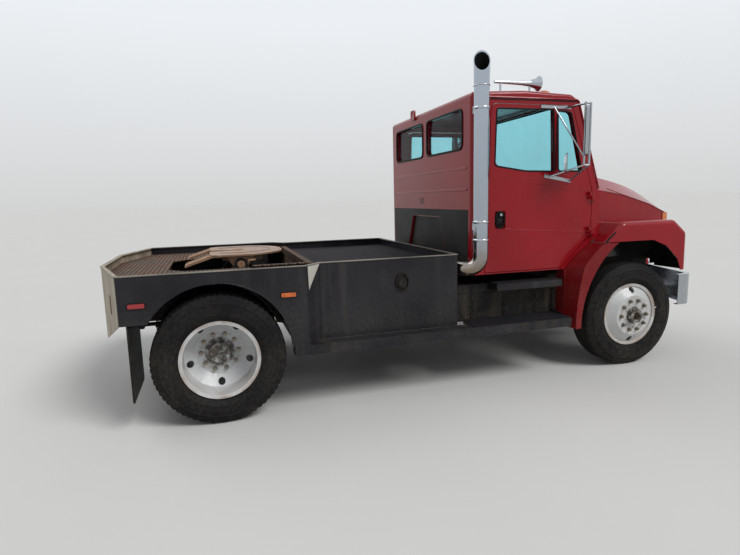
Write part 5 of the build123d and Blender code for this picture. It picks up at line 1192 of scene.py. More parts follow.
@dataclass
class BedDetails:
    """Rolled cap, arch beads and linings, skirts, welds, fillers, lamp bases and tread plates.

    Places are given from the rear axle, for the left side.
    """

    cap_z: float = 1.1725
    cap_radius: float = 0.0055
    cap_bend: float = 0.012
    plan: Outline = (
        (-0.880, 0.476), (-0.665, 1.2165), (0.678, 1.2165), (0.802, 1.0805), (2.002, 1.0805),
        (2.002, -1.0805), (0.802, -1.0805), (0.678, -1.2165), (-0.665, -1.2165), (-0.880, -0.476))
    arch_middle: Pair = (RA - 0.010, 0.530)
    bead_y: float = 1.2145
    bead_reach: float = 0.555
    bead_radius: float = 0.0045
    bead_arc: Sweep = (4.0, 148.0, 40)
    liner_reach: Pair = (0.5575, 0.5535)
    liner_y: float = 0.620
    liner_width: float = 0.560
    liner_arc: Sweep = (9.0, 147.0, 32)
    wall_y: float = 0.6165
    wall_thickness: float = 0.003
    wall_hole: float = 0.505
    wall_arc: Sweep = (14.0, 150.0, 32)
    wall_corners: Outline = ((0.565, 1.0910), (0.565, 0.600), (-0.565, 0.760), (-0.565, 1.0910))
    skirt: Line = ((-0.664, 1.212, 0.8200), (-0.877, 0.475, 0.7000), (-0.877, 0.475, 0.5820))
    skirt_inward: Pair = (0.005, -0.0015)
    skirt_middle: Box = ((-0.878, -0.475, 0.582), (-0.873, 0.475, 0.701))
    skirt_rounding: Rounding = (0.001, 1)
    weld_lines: tuple[tuple[str, Line], ...] = (
        ("shoulder", ((0.678, 1.2150, 0.565), (0.678, 1.2150, 1.164))),
        ("box", ((0.801, 1.0795, 0.565), (0.801, 1.0795, 1.164))))
    weld_radius: float = 0.0032
    gusset: Line = ((0.6800, 1.2122, 1.166), (0.7960, 1.0838, 1.166), (0.6850, 1.2066, 0.985))
    gusset_way: Pair = (0.7416, 0.6707)
    gusset_gap: float = 0.0008
    gusset_thickness: float = 0.0025
    gusset_rim: Pair = (0.004, 0.001)
    filler_middle: Point = (RA + 1.492, 1.0790, 0.970)
    filler_half: Pair = (0.059, 0.079)
    bezel_steps: Steps = ((0.0, 0.013), (0.010, -0.011))
    filler_cap: Point = (1.492, 1.0795, 0.958)
    filler_cap_radius: float = 0.036
    filler_cap_steps: Steps = ((0.0, 0.010), (0.005, 0.004), (0.014, -0.003))
    lamp_base: Box = ((-0.062, 1.2142, 0.937), (0.062, 1.2190, 0.983))
    lamp_base_rounding: Rounding = (0.010, 3)
    lamps: tuple[tuple[str, float], ...] = (("rear", -0.540), ("front", 0.527))
    treads: tuple[tuple[str, Box], ...] = (
        ("sill", ((2.100, 1.086, 0.5502), (3.070, 1.211, 0.5540))),
        ("toe", ((2.125, 0.954, 0.5502), (3.070, 1.080, 0.5534))),
        ("upper", ((2.406, 0.914, 0.8802), (3.074, 1.056, 0.8842))))
    tread_rim: Pair = (0.004, 0.001)
    deck_ahead: Box = ((0.806, -1.070, 1.0984), (1.994, 1.070, 1.1014))
    deck_rim: Pair = (0.006, 0.0008)
    bracket: Box = ((-0.8845, -0.170, 0.830), (-0.8785, 0.170, 1.010))
    bracket_rim: Pair = (0.008, -0.003)
    plate: Box = ((-0.8860, -0.152, 0.845), (-0.8820, 0.152, 0.997))
    plate_rounding: Rounding = (0.012, 3)

    def build(self) -> None:
        """Build every detail of the bed."""
        cap = place([(x, y, self.cap_z) for x, y in self.plan])
        Bench("bed_cap_edge").rod(cap, self.cap_radius, self.cap_bend, True).done("chassis", Stock.bed_worn, SOFT)
        for side in Side:
            self.arch(side)
            self.slanted_skirt(side)
            self.welds(side)
            self.filler(side)
            self.lamp_bases(side)
            self.steps(side)
        self.tail()
        Bench("deck_ahead").block(*boxed(self.deck_ahead)).facing(Axis.Z.value).inset(*self.deck_rim).done(
            "chassis", Stock.step_plate)

    def arch(self, side: Side) -> None:
        """Bead round a wheel arch, its liner, and the wall that closes its inner side; the dark liner and wall also
        stand in for the shade inside the arch.
        """
        sign = side.value
        bead = [(x, sign * self.bead_y, z) for x, z in arc(self.arch_middle, self.bead_reach, *self.bead_arc)]
        Bench(f"arch_bead_{side.word}").rod(bead, self.bead_radius).done("chassis", Stock.bed_black, SOFT)
        # Dark liner and wall: inner fender sheets that also serve as painted shade inside the arch.
        outer, inner = (arc(self.arch_middle, reach, *self.liner_arc) for reach in self.liner_reach)
        strip = outer + inner[::-1]
        Bench(f"arch_liner_{side.word}").outline([(x, sign * self.liner_y, z) for x, z in strip]).extrude(
            (0.0, sign * self.liner_width, 0.0)).done("chassis", Stock.box_dark)
        corners = [(RA + x, z) for x, z in self.wall_corners]
        wall = corners[:2] + arc((RA, AXLE_Z), self.wall_hole, *self.wall_arc) + corners[2:]
        Bench(f"arch_wall_{side.word}").outline([(x, sign * self.wall_y, z) for x, z in wall]).extrude(
            (0.0, sign * self.wall_thickness, 0.0)).done("chassis", Stock.box_dark)

    def slanted_skirt(self, side: Side) -> None:
        """Lower edge of a slanted rear panel, which runs down to the middle of the tail."""
        ahead, out = self.skirt_inward
        Bench(f"tail_skirt_{side.word}").outline(place(self.skirt, side)).extrude(
            (ahead, side.value * out, 0.0)).done("chassis", Stock.bed_black)

    def welds(self, side: Side) -> None:
        """Weld beads at the shoulder's corners and the bare gusset over it."""
        for name, line in self.weld_lines:
            Bench(f"weld_{name}_{side.word}").rod(place(line, side), self.weld_radius).done(
                "chassis", Stock.bed_black, SOFT)
        way = Vector((self.gusset_way[0], side.value * self.gusset_way[1], 0.0))
        corners = [Vector(corner) + way * self.gusset_gap for corner in place(self.gusset, side)]
        Bench(f"gusset_{side.word}").outline(corners).extrude(way * self.gusset_thickness).inset(
            *self.gusset_rim).done("chassis", Stock.bare_plate)

    def filler(self, side: Side) -> None:
        """Oval filler bezel with a round cap in it, on a box's side."""
        out = (0.0, side.value, 0.0)
        (x, y, z), (wide, high) = self.filler_middle, self.filler_half
        oval = [(x + wide * a, side.value * y, z + high * b) for a, b in arc((0.0, 0.0), 1.0, *ROUND)]
        Bench(f"filler_bezel_{side.word}").outline(oval).stepped(out, self.bezel_steps).done("chassis", Stock.seal)
        Bench(f"filler_cap_{side.word}").disc(
            place([self.filler_cap], side)[0], self.filler_cap_radius, out, sides=28).stepped(
            out, self.filler_cap_steps).done("chassis", Stock.box_dark)

    def lamp_bases(self, side: Side) -> None:
        """Rubber bases under the marker lamps."""
        for name, x in self.lamps:
            Bench(f"marker_base_{name}_{side.word}").block(*boxed(self.lamp_base, side, RA + x)).eased(
                Axis.Y, self.lamp_base_rounding).done("chassis", Stock.seal)

    def steps(self, side: Side) -> None:
        """Tread plates on the sill and on the upper step."""
        for name, box in self.treads:
            Bench(f"step_{name}_{side.word}").block(*boxed(box, side)).facing(Axis.Z.value).inset(
                *self.tread_rim).done("chassis", Stock.step_plate)

    def tail(self) -> None:
        """Lower edge of the tail, and a blank plate in its bracket."""
        Bench("tail_skirt_middle").block(*boxed(self.skirt_middle)).all().bevel(*self.skirt_rounding).done(
            "chassis", Stock.bed_black)
        Bench("tail_bracket").block(*boxed(self.bracket)).facing(REARWARD).inset(*self.bracket_rim).done(
            "chassis", Stock.box_dark)
        Bench("tail_plate").block(*boxed(self.plate)).eased(Axis.X, self.plate_rounding).done(
            "chassis", Stock.blank_plate)


@dataclass
class CouplingDetails:
    """Pins, bolts, ramp edges, release handle and jaw lip, given from the coupling's middle."""

    x: float = RA + 0.230
    top_z: float = 1.212
    pin: Point = (0.0, 0.4195, 1.120)
    pin_radius: float = 0.034
    pin_steps: Steps = ((0.0, 0.016), (0.006, 0.006), (0.014, -0.004))
    bolt: Point = (-0.340, 0.395, 0.9600)
    bolt_radius: float = 0.016
    bolt_steps: Steps = ((0.0, 0.010), (0.003, 0.004))
    bolts: int = 6
    bolt_pitch: float = 0.150
    ramps: tuple[tuple[str, Line], ...] = (
        ("edge", ((-0.250, 0.412, 1.2045), (-0.462, 0.412, 1.1360))),
        ("inner", ((-0.250, 0.246, 1.2045), (-0.462, 0.246, 1.1360))))
    ramp_radius: float = 0.006
    handle: Line = ((0.120, -0.200, 1.165), (0.120, -0.470, 1.160), (0.060, -0.500, 1.160), (0.060, -0.540, 1.160))
    handle_radius: float = 0.009
    handle_bend: float = 0.015
    lip: Pair = (0.046, 0.005)
    lip_arc: Sweep = (-150.0, 150.0, 24)
    ridge: Pair = (0.300, 0.004)
    ridge_arc: Sweep = (-125.0, 125.0, 40)
    proud: float = 0.001

    def build(self) -> None:
        """Build the coupling's details."""
        for side in Side:
            out = (0.0, side.value, 0.0)
            Bench(f"pivot_pin_{side.word}").disc(
                place([self.pin], side, self.x)[0], self.pin_radius, out, sides=24).stepped(
                out, self.pin_steps).done("chassis", Stock.coupling_steel)
            Bench(f"base_bolts_{side.word}").disc(
                place([self.bolt], side, self.x)[0], self.bolt_radius, Axis.Z.value, HEXAGON).stepped(
                Axis.Z.value, self.bolt_steps).all().row(self.bolts, (self.bolt_pitch, 0.0, 0.0)).done(
                "chassis", Stock.bolt_steel)
            for name, line in self.ramps:
                Bench(f"ramp_{name}_{side.word}").rod(place(line, side, self.x), self.ramp_radius).done(
                    "coupling_plate", Stock.coupling_steel)
        Bench("release_handle").rod(place(self.handle, axle=self.x), self.handle_radius, self.handle_bend).done(
            "coupling_plate", Stock.coupling_steel)
        reach, radius = self.lip
        lip = [(x, y, self.top_z + self.proud) for x, y in arc((self.x, 0.0), reach, *self.lip_arc)]
        Bench("jaw_lip").rod(lip, radius).done("coupling_plate", Stock.coupling_steel)
        reach, radius = self.ridge
        ridge = [(x, y, self.top_z - self.proud) for x, y in arc((self.x, 0.0), reach, *self.ridge_arc)]
        Bench("grease_ridge").rod(ridge, radius).done("coupling_plate", Stock.grease)


@dataclass
class DoorDetails:
    """Gaskets, handle, lock, creases and foot seal of both doors, given from the rear axle."""

    skin_y: float = 1.0150
    gaskets: tuple[tuple[str, Outline], ...] = (
        ("side", ((2.390, 1.918), (2.404, 2.402), (2.972, 2.402), (2.992, 1.866), (2.700, 1.871))),
        ("vent", ((3.036, 1.866), (3.016, 2.396), (3.156, 2.384), (3.288, 1.866))))
    gasket_radius: float = 0.0075
    gasket_bend: float = 0.030
    gasket_sunk: float = 0.002
    vent_post: Box = ((3.003, 0.985, 1.872), (3.015, 1.018, 2.398))
    post_rounding: Rounding = (0.003, 2)
    handle_middle: Pair = (RA + 2.448, 1.448)
    handle_half: Pair = (0.046, 0.072)
    handle_rim_radius: float = 0.0055
    handle_rim_proud: float = 0.001
    cup_y: float = 0.9960
    cup_depth: float = 0.004
    cup_rim: Pair = (0.010, -0.002)
    lever: Box = ((2.418, 1.000, 1.405), (2.478, 1.012, 1.462))
    lever_rounding: Rounding = (0.004, 2)
    lock: Point = (2.462, 0.9995, 1.494)
    lock_radius: float = 0.0125
    lock_steps: Steps = ((0.0, 0.012), (0.003, -0.002))
    creases: tuple[tuple[str, Outline], ...] = (
        ("belt", ((2.441, 1.839), (2.642, 1.785), (2.900, 1.737), (3.387, 1.683))),
        ("waist", ((2.498, 1.367), (2.859, 1.334), (3.395, 1.302))))
    crease_radius: float = 0.0062
    crease_bend: float = 0.060
    crease_sunk: float = 0.0040
    foot: Line = ((2.330, 0.9990, 1.004), (3.090, 0.9990, 1.004))
    foot_radius: float = 0.0045

    def build(self, side: Side) -> None:
        """Build the details of one door."""
        sign, out, body = side.value, (0.0, side.value, 0.0), f"door_{side.word}"
        for name, points in self.gaskets:
            line = place([(x, self.skin_y - self.gasket_sunk, z) for x, z in points], side)
            Bench(f"gasket_{name}_{side.word}").rod(line, self.gasket_radius, self.gasket_bend, True).done(
                body, Stock.seal, SOFT)
        Bench(f"vent_post_{side.word}").block(*boxed(self.vent_post, side)).eased(Axis.Z, self.post_rounding).done(
            body, Stock.seal)
        (x, z), (wide, high) = self.handle_middle, self.handle_half
        cup = [(x + wide * a, z + high * b) for a, b in arc((0.0, 0.0), 1.0, *ROUND)]
        Bench(f"handle_rim_{side.word}").rod([(x, sign * (self.skin_y + self.handle_rim_proud), z) for x, z in cup],
                                             self.handle_rim_radius, 0.0, True).done(body, Stock.seal, SOFT)
        Bench(f"handle_cup_{side.word}").outline([(x, sign * self.cup_y, z) for x, z in cup]).extrude(
            (0.0, sign * self.cup_depth, 0.0)).inset(*self.cup_rim).done(body, Stock.seal)
        Bench(f"handle_lever_{side.word}").block(*boxed(self.lever, side)).all().bevel(*self.lever_rounding).done(
            body, Stock.box_dark)
        Bench(f"door_lock_{side.word}").disc(place([self.lock], side)[0], self.lock_radius, out, sides=20).stepped(
            out, self.lock_steps).done(body, Stock.chrome)
        for name, points in self.creases:
            line = place([(x, self.skin_y - self.crease_sunk, z) for x, z in points], side)
            Bench(f"door_crease_{name}_{side.word}").rod(line, self.crease_radius, self.crease_bend).done(
                body, Stock.cab_red, SOFT)
        Bench(f"door_foot_seal_{side.word}").rod(place(self.foot, side), self.foot_radius).done(body, Stock.chrome)


@dataclass
class CabDetails:
    """Gutters, window gaskets, wipers, roof and back wall fittings, stack bands and inner fittings.

    Places are given from the rear axle, and those on the back wall from the wall's face.
    """

    gutter_line: Line = ((2.190, 1.0190, 2.493), (3.226, 1.0190, 2.493), (3.480, 1.0190, 1.702))
    gutter_radius: float = 0.0075
    gutter_bend: float = 0.030
    gutter_shadow: Line = ((2.190, 1.0165, 2.478), (3.212, 1.0165, 2.478))
    shadow_radius: float = 0.0050
    window: Line = ((-0.001, 0.055, 2.075), (-0.001, 0.845, 2.075), (-0.001, 0.845, 2.420), (-0.001, 0.055, 2.420))
    window_radius: float = 0.0100
    window_bend: float = 0.060
    wiper_arm: Line = ((3.498, 0.120, 1.735), (3.486, 0.160, 1.757), (3.468, 0.440, 1.780))
    wiper_arm_radius: float = 0.0045
    wiper_arm_bend: float = 0.010
    wiper_blade: Line = ((3.4655, 0.170, 1.760), (3.4530, 0.720, 1.800))
    wiper_blade_radius: float = 0.0060
    back_x: float = RA + 2.165
    panel: Outline = (
        (-0.955, 0.972), (-0.566, 0.972), (-0.351, 1.474), (0.351, 1.474), (0.566, 0.972), (0.955, 0.972),
        (0.955, 1.545), (-0.955, 1.545))
    panel_x: Pair = (-0.0004, -0.0020)
    lining: Outline = ((-0.545, 0.975), (-0.335, 1.462), (0.335, 1.462), (0.545, 0.975))
    lining_x: Pair = (0.0255, -0.0030)
    lining_rim: Pair = (0.012, -0.001)
    rib_z: Pair = (1.905, 1.720)
    rib_half: float = 0.930
    rib_radius: float = 0.011
    rib_flat: float = 0.45
    slit: Box = ((-0.0035, 0.040, 1.600), (0.0, 0.150, 1.608))
    slit_rounding: Rounding = (0.003, 2)
    slits: int = 3
    slit_pitch: float = 0.022
    roof_bracket: Box = ((-0.020, 0.245, 2.484), (-0.0005, 0.345, 2.585))
    bracket_rounding: Rounding = (0.018, 3)
    bracket_rim: Pair = (0.010, -0.004)
    hood_seal: Line = ((3.506, 0.934, 1.400), (3.506, 0.936, 1.692), (3.506, 0.698, 1.8435))
    hood_seal_radius: float = 0.0058
    hood_seal_bend: float = 0.020
    screen: Line = ((3.4665, 0.957, 1.7210), (3.2215, 0.957, 2.4790))
    screen_radius: float = 0.0095
    screen_bend: float = 0.040
    lamp_x: float = 2.970
    lamp_y: tuple[float, ...] = (-0.860, -0.200, 0.0, 0.200, 0.860)
    lamp_z: float = 2.5500
    lamp_reach: float = 0.0625
    lamp_seal_radius: float = 0.0040
    roof_fall: float = 0.0377
    horn_foot: Box = ((-0.028, -0.942, 0.0), (0.028, -0.898, 0.006))
    horn_feet: Outline = ((2.490, 2.5520), (2.780, 2.5570))
    foot_rounding: Rounding = (0.0025, 2)
    stack_middle: Pair = (RA + 2.195, -1.130)
    stack_bands: Outline = ((2.554, 0.0650), (2.378, 0.0655), (1.444, 0.0655), (1.291, 0.0655))
    band_arc: Sweep = (0.0, 352.5, 48)
    band_radius: float = 0.0045
    band_height: float = 2.6
    soot_radius: float = 0.0606
    soot_z: float = 2.420
    soot_rise: float = 0.450
    mouth_z: float = 2.747
    mouth_way: Point = (-0.60, -1.29, 1.0)
    soot_steps: Steps = ((0.0012, -0.280),)
    lever: Line = ((2.985, 0.0, 1.280), (2.960, 0.020, 1.480), (2.915, 0.030, 1.640))
    lever_radius: float = 0.0080
    lever_bend: float = 0.040
    knob: Box = ((2.890, 0.008, 1.632), (2.938, 0.052, 1.688))
    knob_rounding: Rounding = (0.018, 3)
    gauge_hood: Box = ((3.130, 0.270, 1.600), (3.215, 0.690, 1.740))
    gauge_hood_rounding: Rounding = (0.026, 4)
    gauge_hood_rim: Pair = (0.018, -0.014)
    gauge: Point = (3.1420, 0.360, 1.668)
    gauge_radius: float = 0.040
    gauge_steps: Steps = ((0.0, 0.004), (0.004, -0.002))
    pedal: Box = ((3.235, 0.360, 1.100), (3.255, 0.430, 1.200))
    pedal_rounding: Rounding = (0.006, 2)
    trio: int = 3
    trio_pitch: float = 0.120

    def build(self) -> None:
        """Build the details of the cab and its doors."""
        doors = DoorDetails()
        for side in Side:
            doors.build(side)
            self.gutter(side)
            self.back_window(side)
            self.wiper(side)
        self.back_wall()
        self.windscreen()
        self.roof()
        self.stack()
        self.inside()

    def gutter(self, side: Side) -> None:
        """Rain gutter along the roof's edge and down the windscreen post, and a dark rod under it as the painted
        shadow of the gutter.
        """
        Bench(f"gutter_{side.word}").rod(place(self.gutter_line, side), self.gutter_radius, self.gutter_bend).done(
            "chassis", Stock.cab_red)
        # Dark rod under the gutter: a painted shadow.
        Bench(f"gutter_seal_{side.word}").rod(place(self.gutter_shadow, side), self.shadow_radius).done(
            "chassis", Stock.seal)

    def back_window(self, side: Side) -> None:
        """Gasket of one back window."""
        Bench(f"gasket_back_{side.word}").rod(
            place(self.window, side, self.back_x), self.window_radius, self.window_bend, True).done(
            "chassis", Stock.seal, SOFT)

    def wiper(self, side: Side) -> None:
        """Parked wiper arm and blade along the windscreen's foot."""
        Bench(f"wiper_arm_{side.word}").rod(
            place(self.wiper_arm, side), self.wiper_arm_radius, self.wiper_arm_bend).done("chassis", Stock.box_dark)
        Bench(f"wiper_blade_{side.word}").rod(place(self.wiper_blade, side), self.wiper_blade_radius).done(
            "chassis", Stock.seal)

    def back_wall(self) -> None:
        """Black lower panel, lined recess, pressed ribs, vent slits and bracket."""
        start, deep = self.panel_x
        Bench("back_panel").outline([(self.back_x + start, y, z) for y, z in self.panel]).extrude(
            (deep, 0.0, 0.0)).done("chassis", Stock.box_dark)
        start, deep = self.lining_x
        Bench("recess_lining").outline([(self.back_x + start, y, z) for y, z in self.lining]).extrude(
            (deep, 0.0, 0.0)).inset(*self.lining_rim).done("chassis", Stock.box_dark)
        for index, z in enumerate(self.rib_z):
            rib = [(self.back_x, -self.rib_half, z), (self.back_x, self.rib_half, z)]
            Bench(f"back_rib_{index}").rod(rib, self.rib_radius).scaled(
                (self.rib_flat, 1.0, 1.0), (self.back_x, 0.0, z)).done("chassis", Stock.cab_red)
        Bench("vent_slits").block(*boxed(self.slit, axle=self.back_x)).eased(Axis.X, self.slit_rounding).all().row(
            self.slits, (0.0, 0.0, self.slit_pitch)).done("chassis", Stock.seal)
        Bench("roof_bracket").block(*boxed(self.roof_bracket, axle=self.back_x)).eased(
            Axis.X, self.bracket_rounding).facing(REARWARD).inset(*self.bracket_rim).done("chassis", Stock.cab_red)

    def windscreen(self) -> None:
        """Seal between cowl and hood, and the gasket round the windscreen."""
        seal = place(self.hood_seal) + place(self.hood_seal, Side.RIGHT)[::-1]
        Bench("hood_seal").rod(seal, self.hood_seal_radius, self.hood_seal_bend).done("chassis", Stock.seal, SOFT)
        ring = place(self.screen) + place(self.screen, Side.RIGHT)[::-1]
        Bench("gasket_screen").rod(ring, self.screen_radius, self.screen_bend, True).done(
            "chassis", Stock.seal, SOFT)

    def roof(self) -> None:
        """Gaskets under the roof lamps and feet under the horn."""
        for index, y in enumerate(self.lamp_y):
            ring = [(RA + x, y + reach, self.lamp_z - self.roof_fall * (x - self.lamp_x))
                    for x, reach in arc((self.lamp_x, 0.0), self.lamp_reach, *ROUND)]
            Bench(f"lamp_seal_{index}").rod(ring, self.lamp_seal_radius, 0.0, True).done(
                "chassis", Stock.seal, SOFT)
        for index, (x, z) in enumerate(self.horn_feet):
            low, high = ((x + ahead, y, z + up) for ahead, y, up in self.horn_foot)
            Bench(f"horn_foot_{index}").block(*boxed((low, high))).all().bevel(*self.foot_rounding).done(
                "chassis", Stock.box_dark)

    def stack(self) -> None:
        """Bands round the stack, and soot on its inner wall from the slanting mouth down."""
        x, y = self.stack_middle
        for index, (z, reach) in enumerate(self.stack_bands):
            ring = [(a, b, z) for a, b in arc(self.stack_middle, reach, *self.band_arc)]
            Bench(f"stack_band_{index}").rod(ring, self.band_radius, 0.0, True).scaled(
                (1.0, 1.0, self.band_height if index else 1.0), (x, y, z)).done("chassis", Stock.chrome, SOFT)
        slant = Vector(self.mouth_way).normalized()
        Bench("stack_soot").disc((x, y, self.soot_z), self.soot_radius, Axis.Z.value, sides=48).extrude(
            (0.0, 0.0, self.soot_rise)).all().cut((x, y, self.mouth_z), slant).facing(slant).stepped(
            Axis.Z.value, self.soot_steps).done("chassis", Stock.soot)

    def inside(self) -> None:
        """Gear lever, gauges and pedals behind the glass."""
        Bench("gear_lever").rod(place(self.lever), self.lever_radius, self.lever_bend).done("chassis", Stock.chrome)
        Bench("gear_knob").block(*boxed(self.knob)).all().bevel(*self.knob_rounding).done(
            "chassis", Stock.box_dark)
        Bench("gauge_hood").block(*boxed(self.gauge_hood)).all().bevel(*self.gauge_hood_rounding).facing(
            REARWARD).inset(*self.gauge_hood_rim).done("chassis", Stock.cab_trim)
        Bench("gauges").disc(place([self.gauge])[0], self.gauge_radius, REARWARD, sides=28).stepped(
            REARWARD, self.gauge_steps).all().row(self.trio, (0.0, self.trio_pitch, 0.0)).done(
            "chassis", Stock.gauge_face)
        Bench("pedals").block(*boxed(self.pedal)).all().bevel(*self.pedal_rounding).all().row(
            self.trio, (0.0, self.trio_pitch, 0.0)).done("chassis", Stock.seal)


@dataclass
class HoodDetails:
    """Latches, beads, lamp frames and grille screen, and the bumper's bolts, hooks and plate.

    Those on the nose are given from its face, those on the bumper from the truck's middle and
    the others from the rear axle.
    """

    nose_x: float = RA + 4.640
    latch: Line = ((3.448, 1.1838, 1.214), (3.502, 1.1838, 1.262), (3.548, 1.1832, 1.300))
    latch_radius: float = 0.0090
    latch_bend: float = 0.014
    latch_flat: float = 0.55
    bead: Line = ((3.640, 0.9430, 1.700), (3.880, 0.8875, 1.640), (4.260, 0.8270, 1.542), (4.535, 0.7815, 1.440))
    bead_radius: float = 0.0045
    bead_bend: float = 0.030
    bumper_bolt: Point = (2.8075, 0.250, 0.640)
    bumper_bolt_radius: float = 0.016
    bumper_bolt_steps: Steps = ((0.0, 0.003), (0.005, 0.003))
    bumper_bolts: int = 2
    bumper_bolt_pitch: float = 0.140
    hook: Line = ((2.700, 0.300, 0.590), (2.842, 0.300, 0.590), (2.842, 0.300, 0.532), (2.720, 0.300, 0.532))
    hook_radius: float = 0.012
    hook_bend: float = 0.026
    surround: Line = ((0.001, 0.458, 0.982), (0.001, 0.458, 1.378), (0.001, -0.458, 1.378), (0.001, -0.458, 0.982))
    surround_radius: float = 0.0080
    surround_bend: float = 0.016
    screen: Box = ((-0.040, -0.440, 1.000), (-0.034, 0.440, 1.360))
    screen_rim: Pair = (0.010, -0.001)
    plate: Box = ((2.8095, -0.152, 0.640), (2.8130, 0.152, 0.792))
    plate_rounding: Rounding = (0.012, 3)
    lamp_frame: Line = (
        (-0.0072, 0.506, 1.005), (-0.0790, 0.734, 1.005), (-0.0850, 0.734, 1.165), (-0.0135, 0.506, 1.165))
    lamp_frame_radius: float = 0.0075
    lamp_frame_bend: float = 0.012
    lamp_post: Line = ((-0.0430, 0.620, 1.008), (-0.0490, 0.620, 1.162))
    lamp_post_radius: float = 0.0050

    def build(self) -> None:
        """Build the details of the hood and the bumper."""
        for side in Side:
            self.headlamp(side)
            strap = place(self.latch, side)
            Bench(f"hood_latch_{side.word}").rod(strap, self.latch_radius, self.latch_bend).scaled(
                (1.0, self.latch_flat, 1.0), strap[1]).done("hood", Stock.seal)
            Bench(f"hood_bead_{side.word}").rod(place(self.bead, side), self.bead_radius, self.bead_bend).done(
                "hood", Stock.cab_red)
            Bench(f"bumper_bolts_{side.word}").disc(
                place([self.bumper_bolt], side, 0.0)[0], self.bumper_bolt_radius, Axis.X.value, sides=20).stepped(
                Axis.X.value, self.bumper_bolt_steps).all().row(
                self.bumper_bolts, (0.0, 0.0, self.bumper_bolt_pitch)).done("chassis", Stock.chrome)
            Bench(f"tow_hook_{side.word}").rod(place(self.hook, side, 0.0), self.hook_radius, self.hook_bend).done(
                "chassis", Stock.chassis_black)
        Bench("grille_surround").rod(
            place(self.surround, axle=self.nose_x), self.surround_radius, self.surround_bend, True).done(
            "hood", Stock.chrome, SOFT)
        Bench("grille_screen").block(*boxed(self.screen, axle=self.nose_x)).facing(Axis.X.value).inset(
            *self.screen_rim).done("hood", Stock.box_dark)
        Bench("front_plate").block(*boxed(self.plate, axle=0.0)).eased(Axis.X, self.plate_rounding).done(
            "chassis", Stock.blank_plate)

    def headlamp(self, side: Side) -> None:
        """Bright frame round one headlamp, and the post between its two lenses."""
        Bench(f"headlamp_frame_{side.word}").rod(
            place(self.lamp_frame, side, self.nose_x), self.lamp_frame_radius, self.lamp_frame_bend, True).done(
            "hood", Stock.chrome, SOFT)
        Bench(f"headlamp_post_{side.word}").rod(
            place(self.lamp_post, side, self.nose_x), self.lamp_post_radius).done("hood", Stock.chrome)


@dataclass
class MirrorDetails:
    """Glass and rubber rims of the door mirrors, given from the rear axle."""

    head: Point = (3.157, 1.235, 2.1925)
    head_gap: float = 0.0132
    half: Pair = (0.076, 0.198)
    face_thickness: float = 0.003
    face_rim: Pair = (0.004, 0.001)
    rim_proud: float = 0.001
    rim_radius: float = 0.0050
    rim_bend: float = 0.016
    spot: Point = (3.020, 1.150, 1.925)
    spot_gap: float = 0.0072
    spot_radius: float = 0.088
    spot_steps: Steps = ((0.0, 0.004), (0.012, 0.005), (0.030, 0.003))
    spot_smooth: float = 50.0
    across: Pair = (0.637, -0.771)

    def build(self) -> None:
        """Build both mirrors' faces."""
        for side in Side:
            body = f"door_{side.word}"
            along = Vector((self.across[0], side.value * self.across[1], 0.0))
            back = Vector((-abs(self.across[1]), -side.value * self.across[0], 0.0))
            head, spot = (Vector(point) for point in place((self.head, self.spot), side))
            wide, high = self.half
            corners = [head + back * self.head_gap + along * a * wide + Vector((0.0, 0.0, b * high))
                       for a, b in ((-1, -1), (1, -1), (1, 1), (-1, 1))]
            Bench(f"mirror_face_{side.word}").outline(corners).extrude(back * self.face_thickness).inset(
                *self.face_rim).done(body, Stock.mirror_glass)
            Bench(f"mirror_rim_{side.word}").rod(
                [corner + back * self.rim_proud for corner in corners], self.rim_radius, self.rim_bend, True).done(
                body, Stock.seal, SOFT)
            Bench(f"spot_mirror_{side.word}").disc(spot + back * self.spot_gap, self.spot_radius, back).stepped(
                back, self.spot_steps).done(body, Stock.mirror_glass, self.spot_smooth)


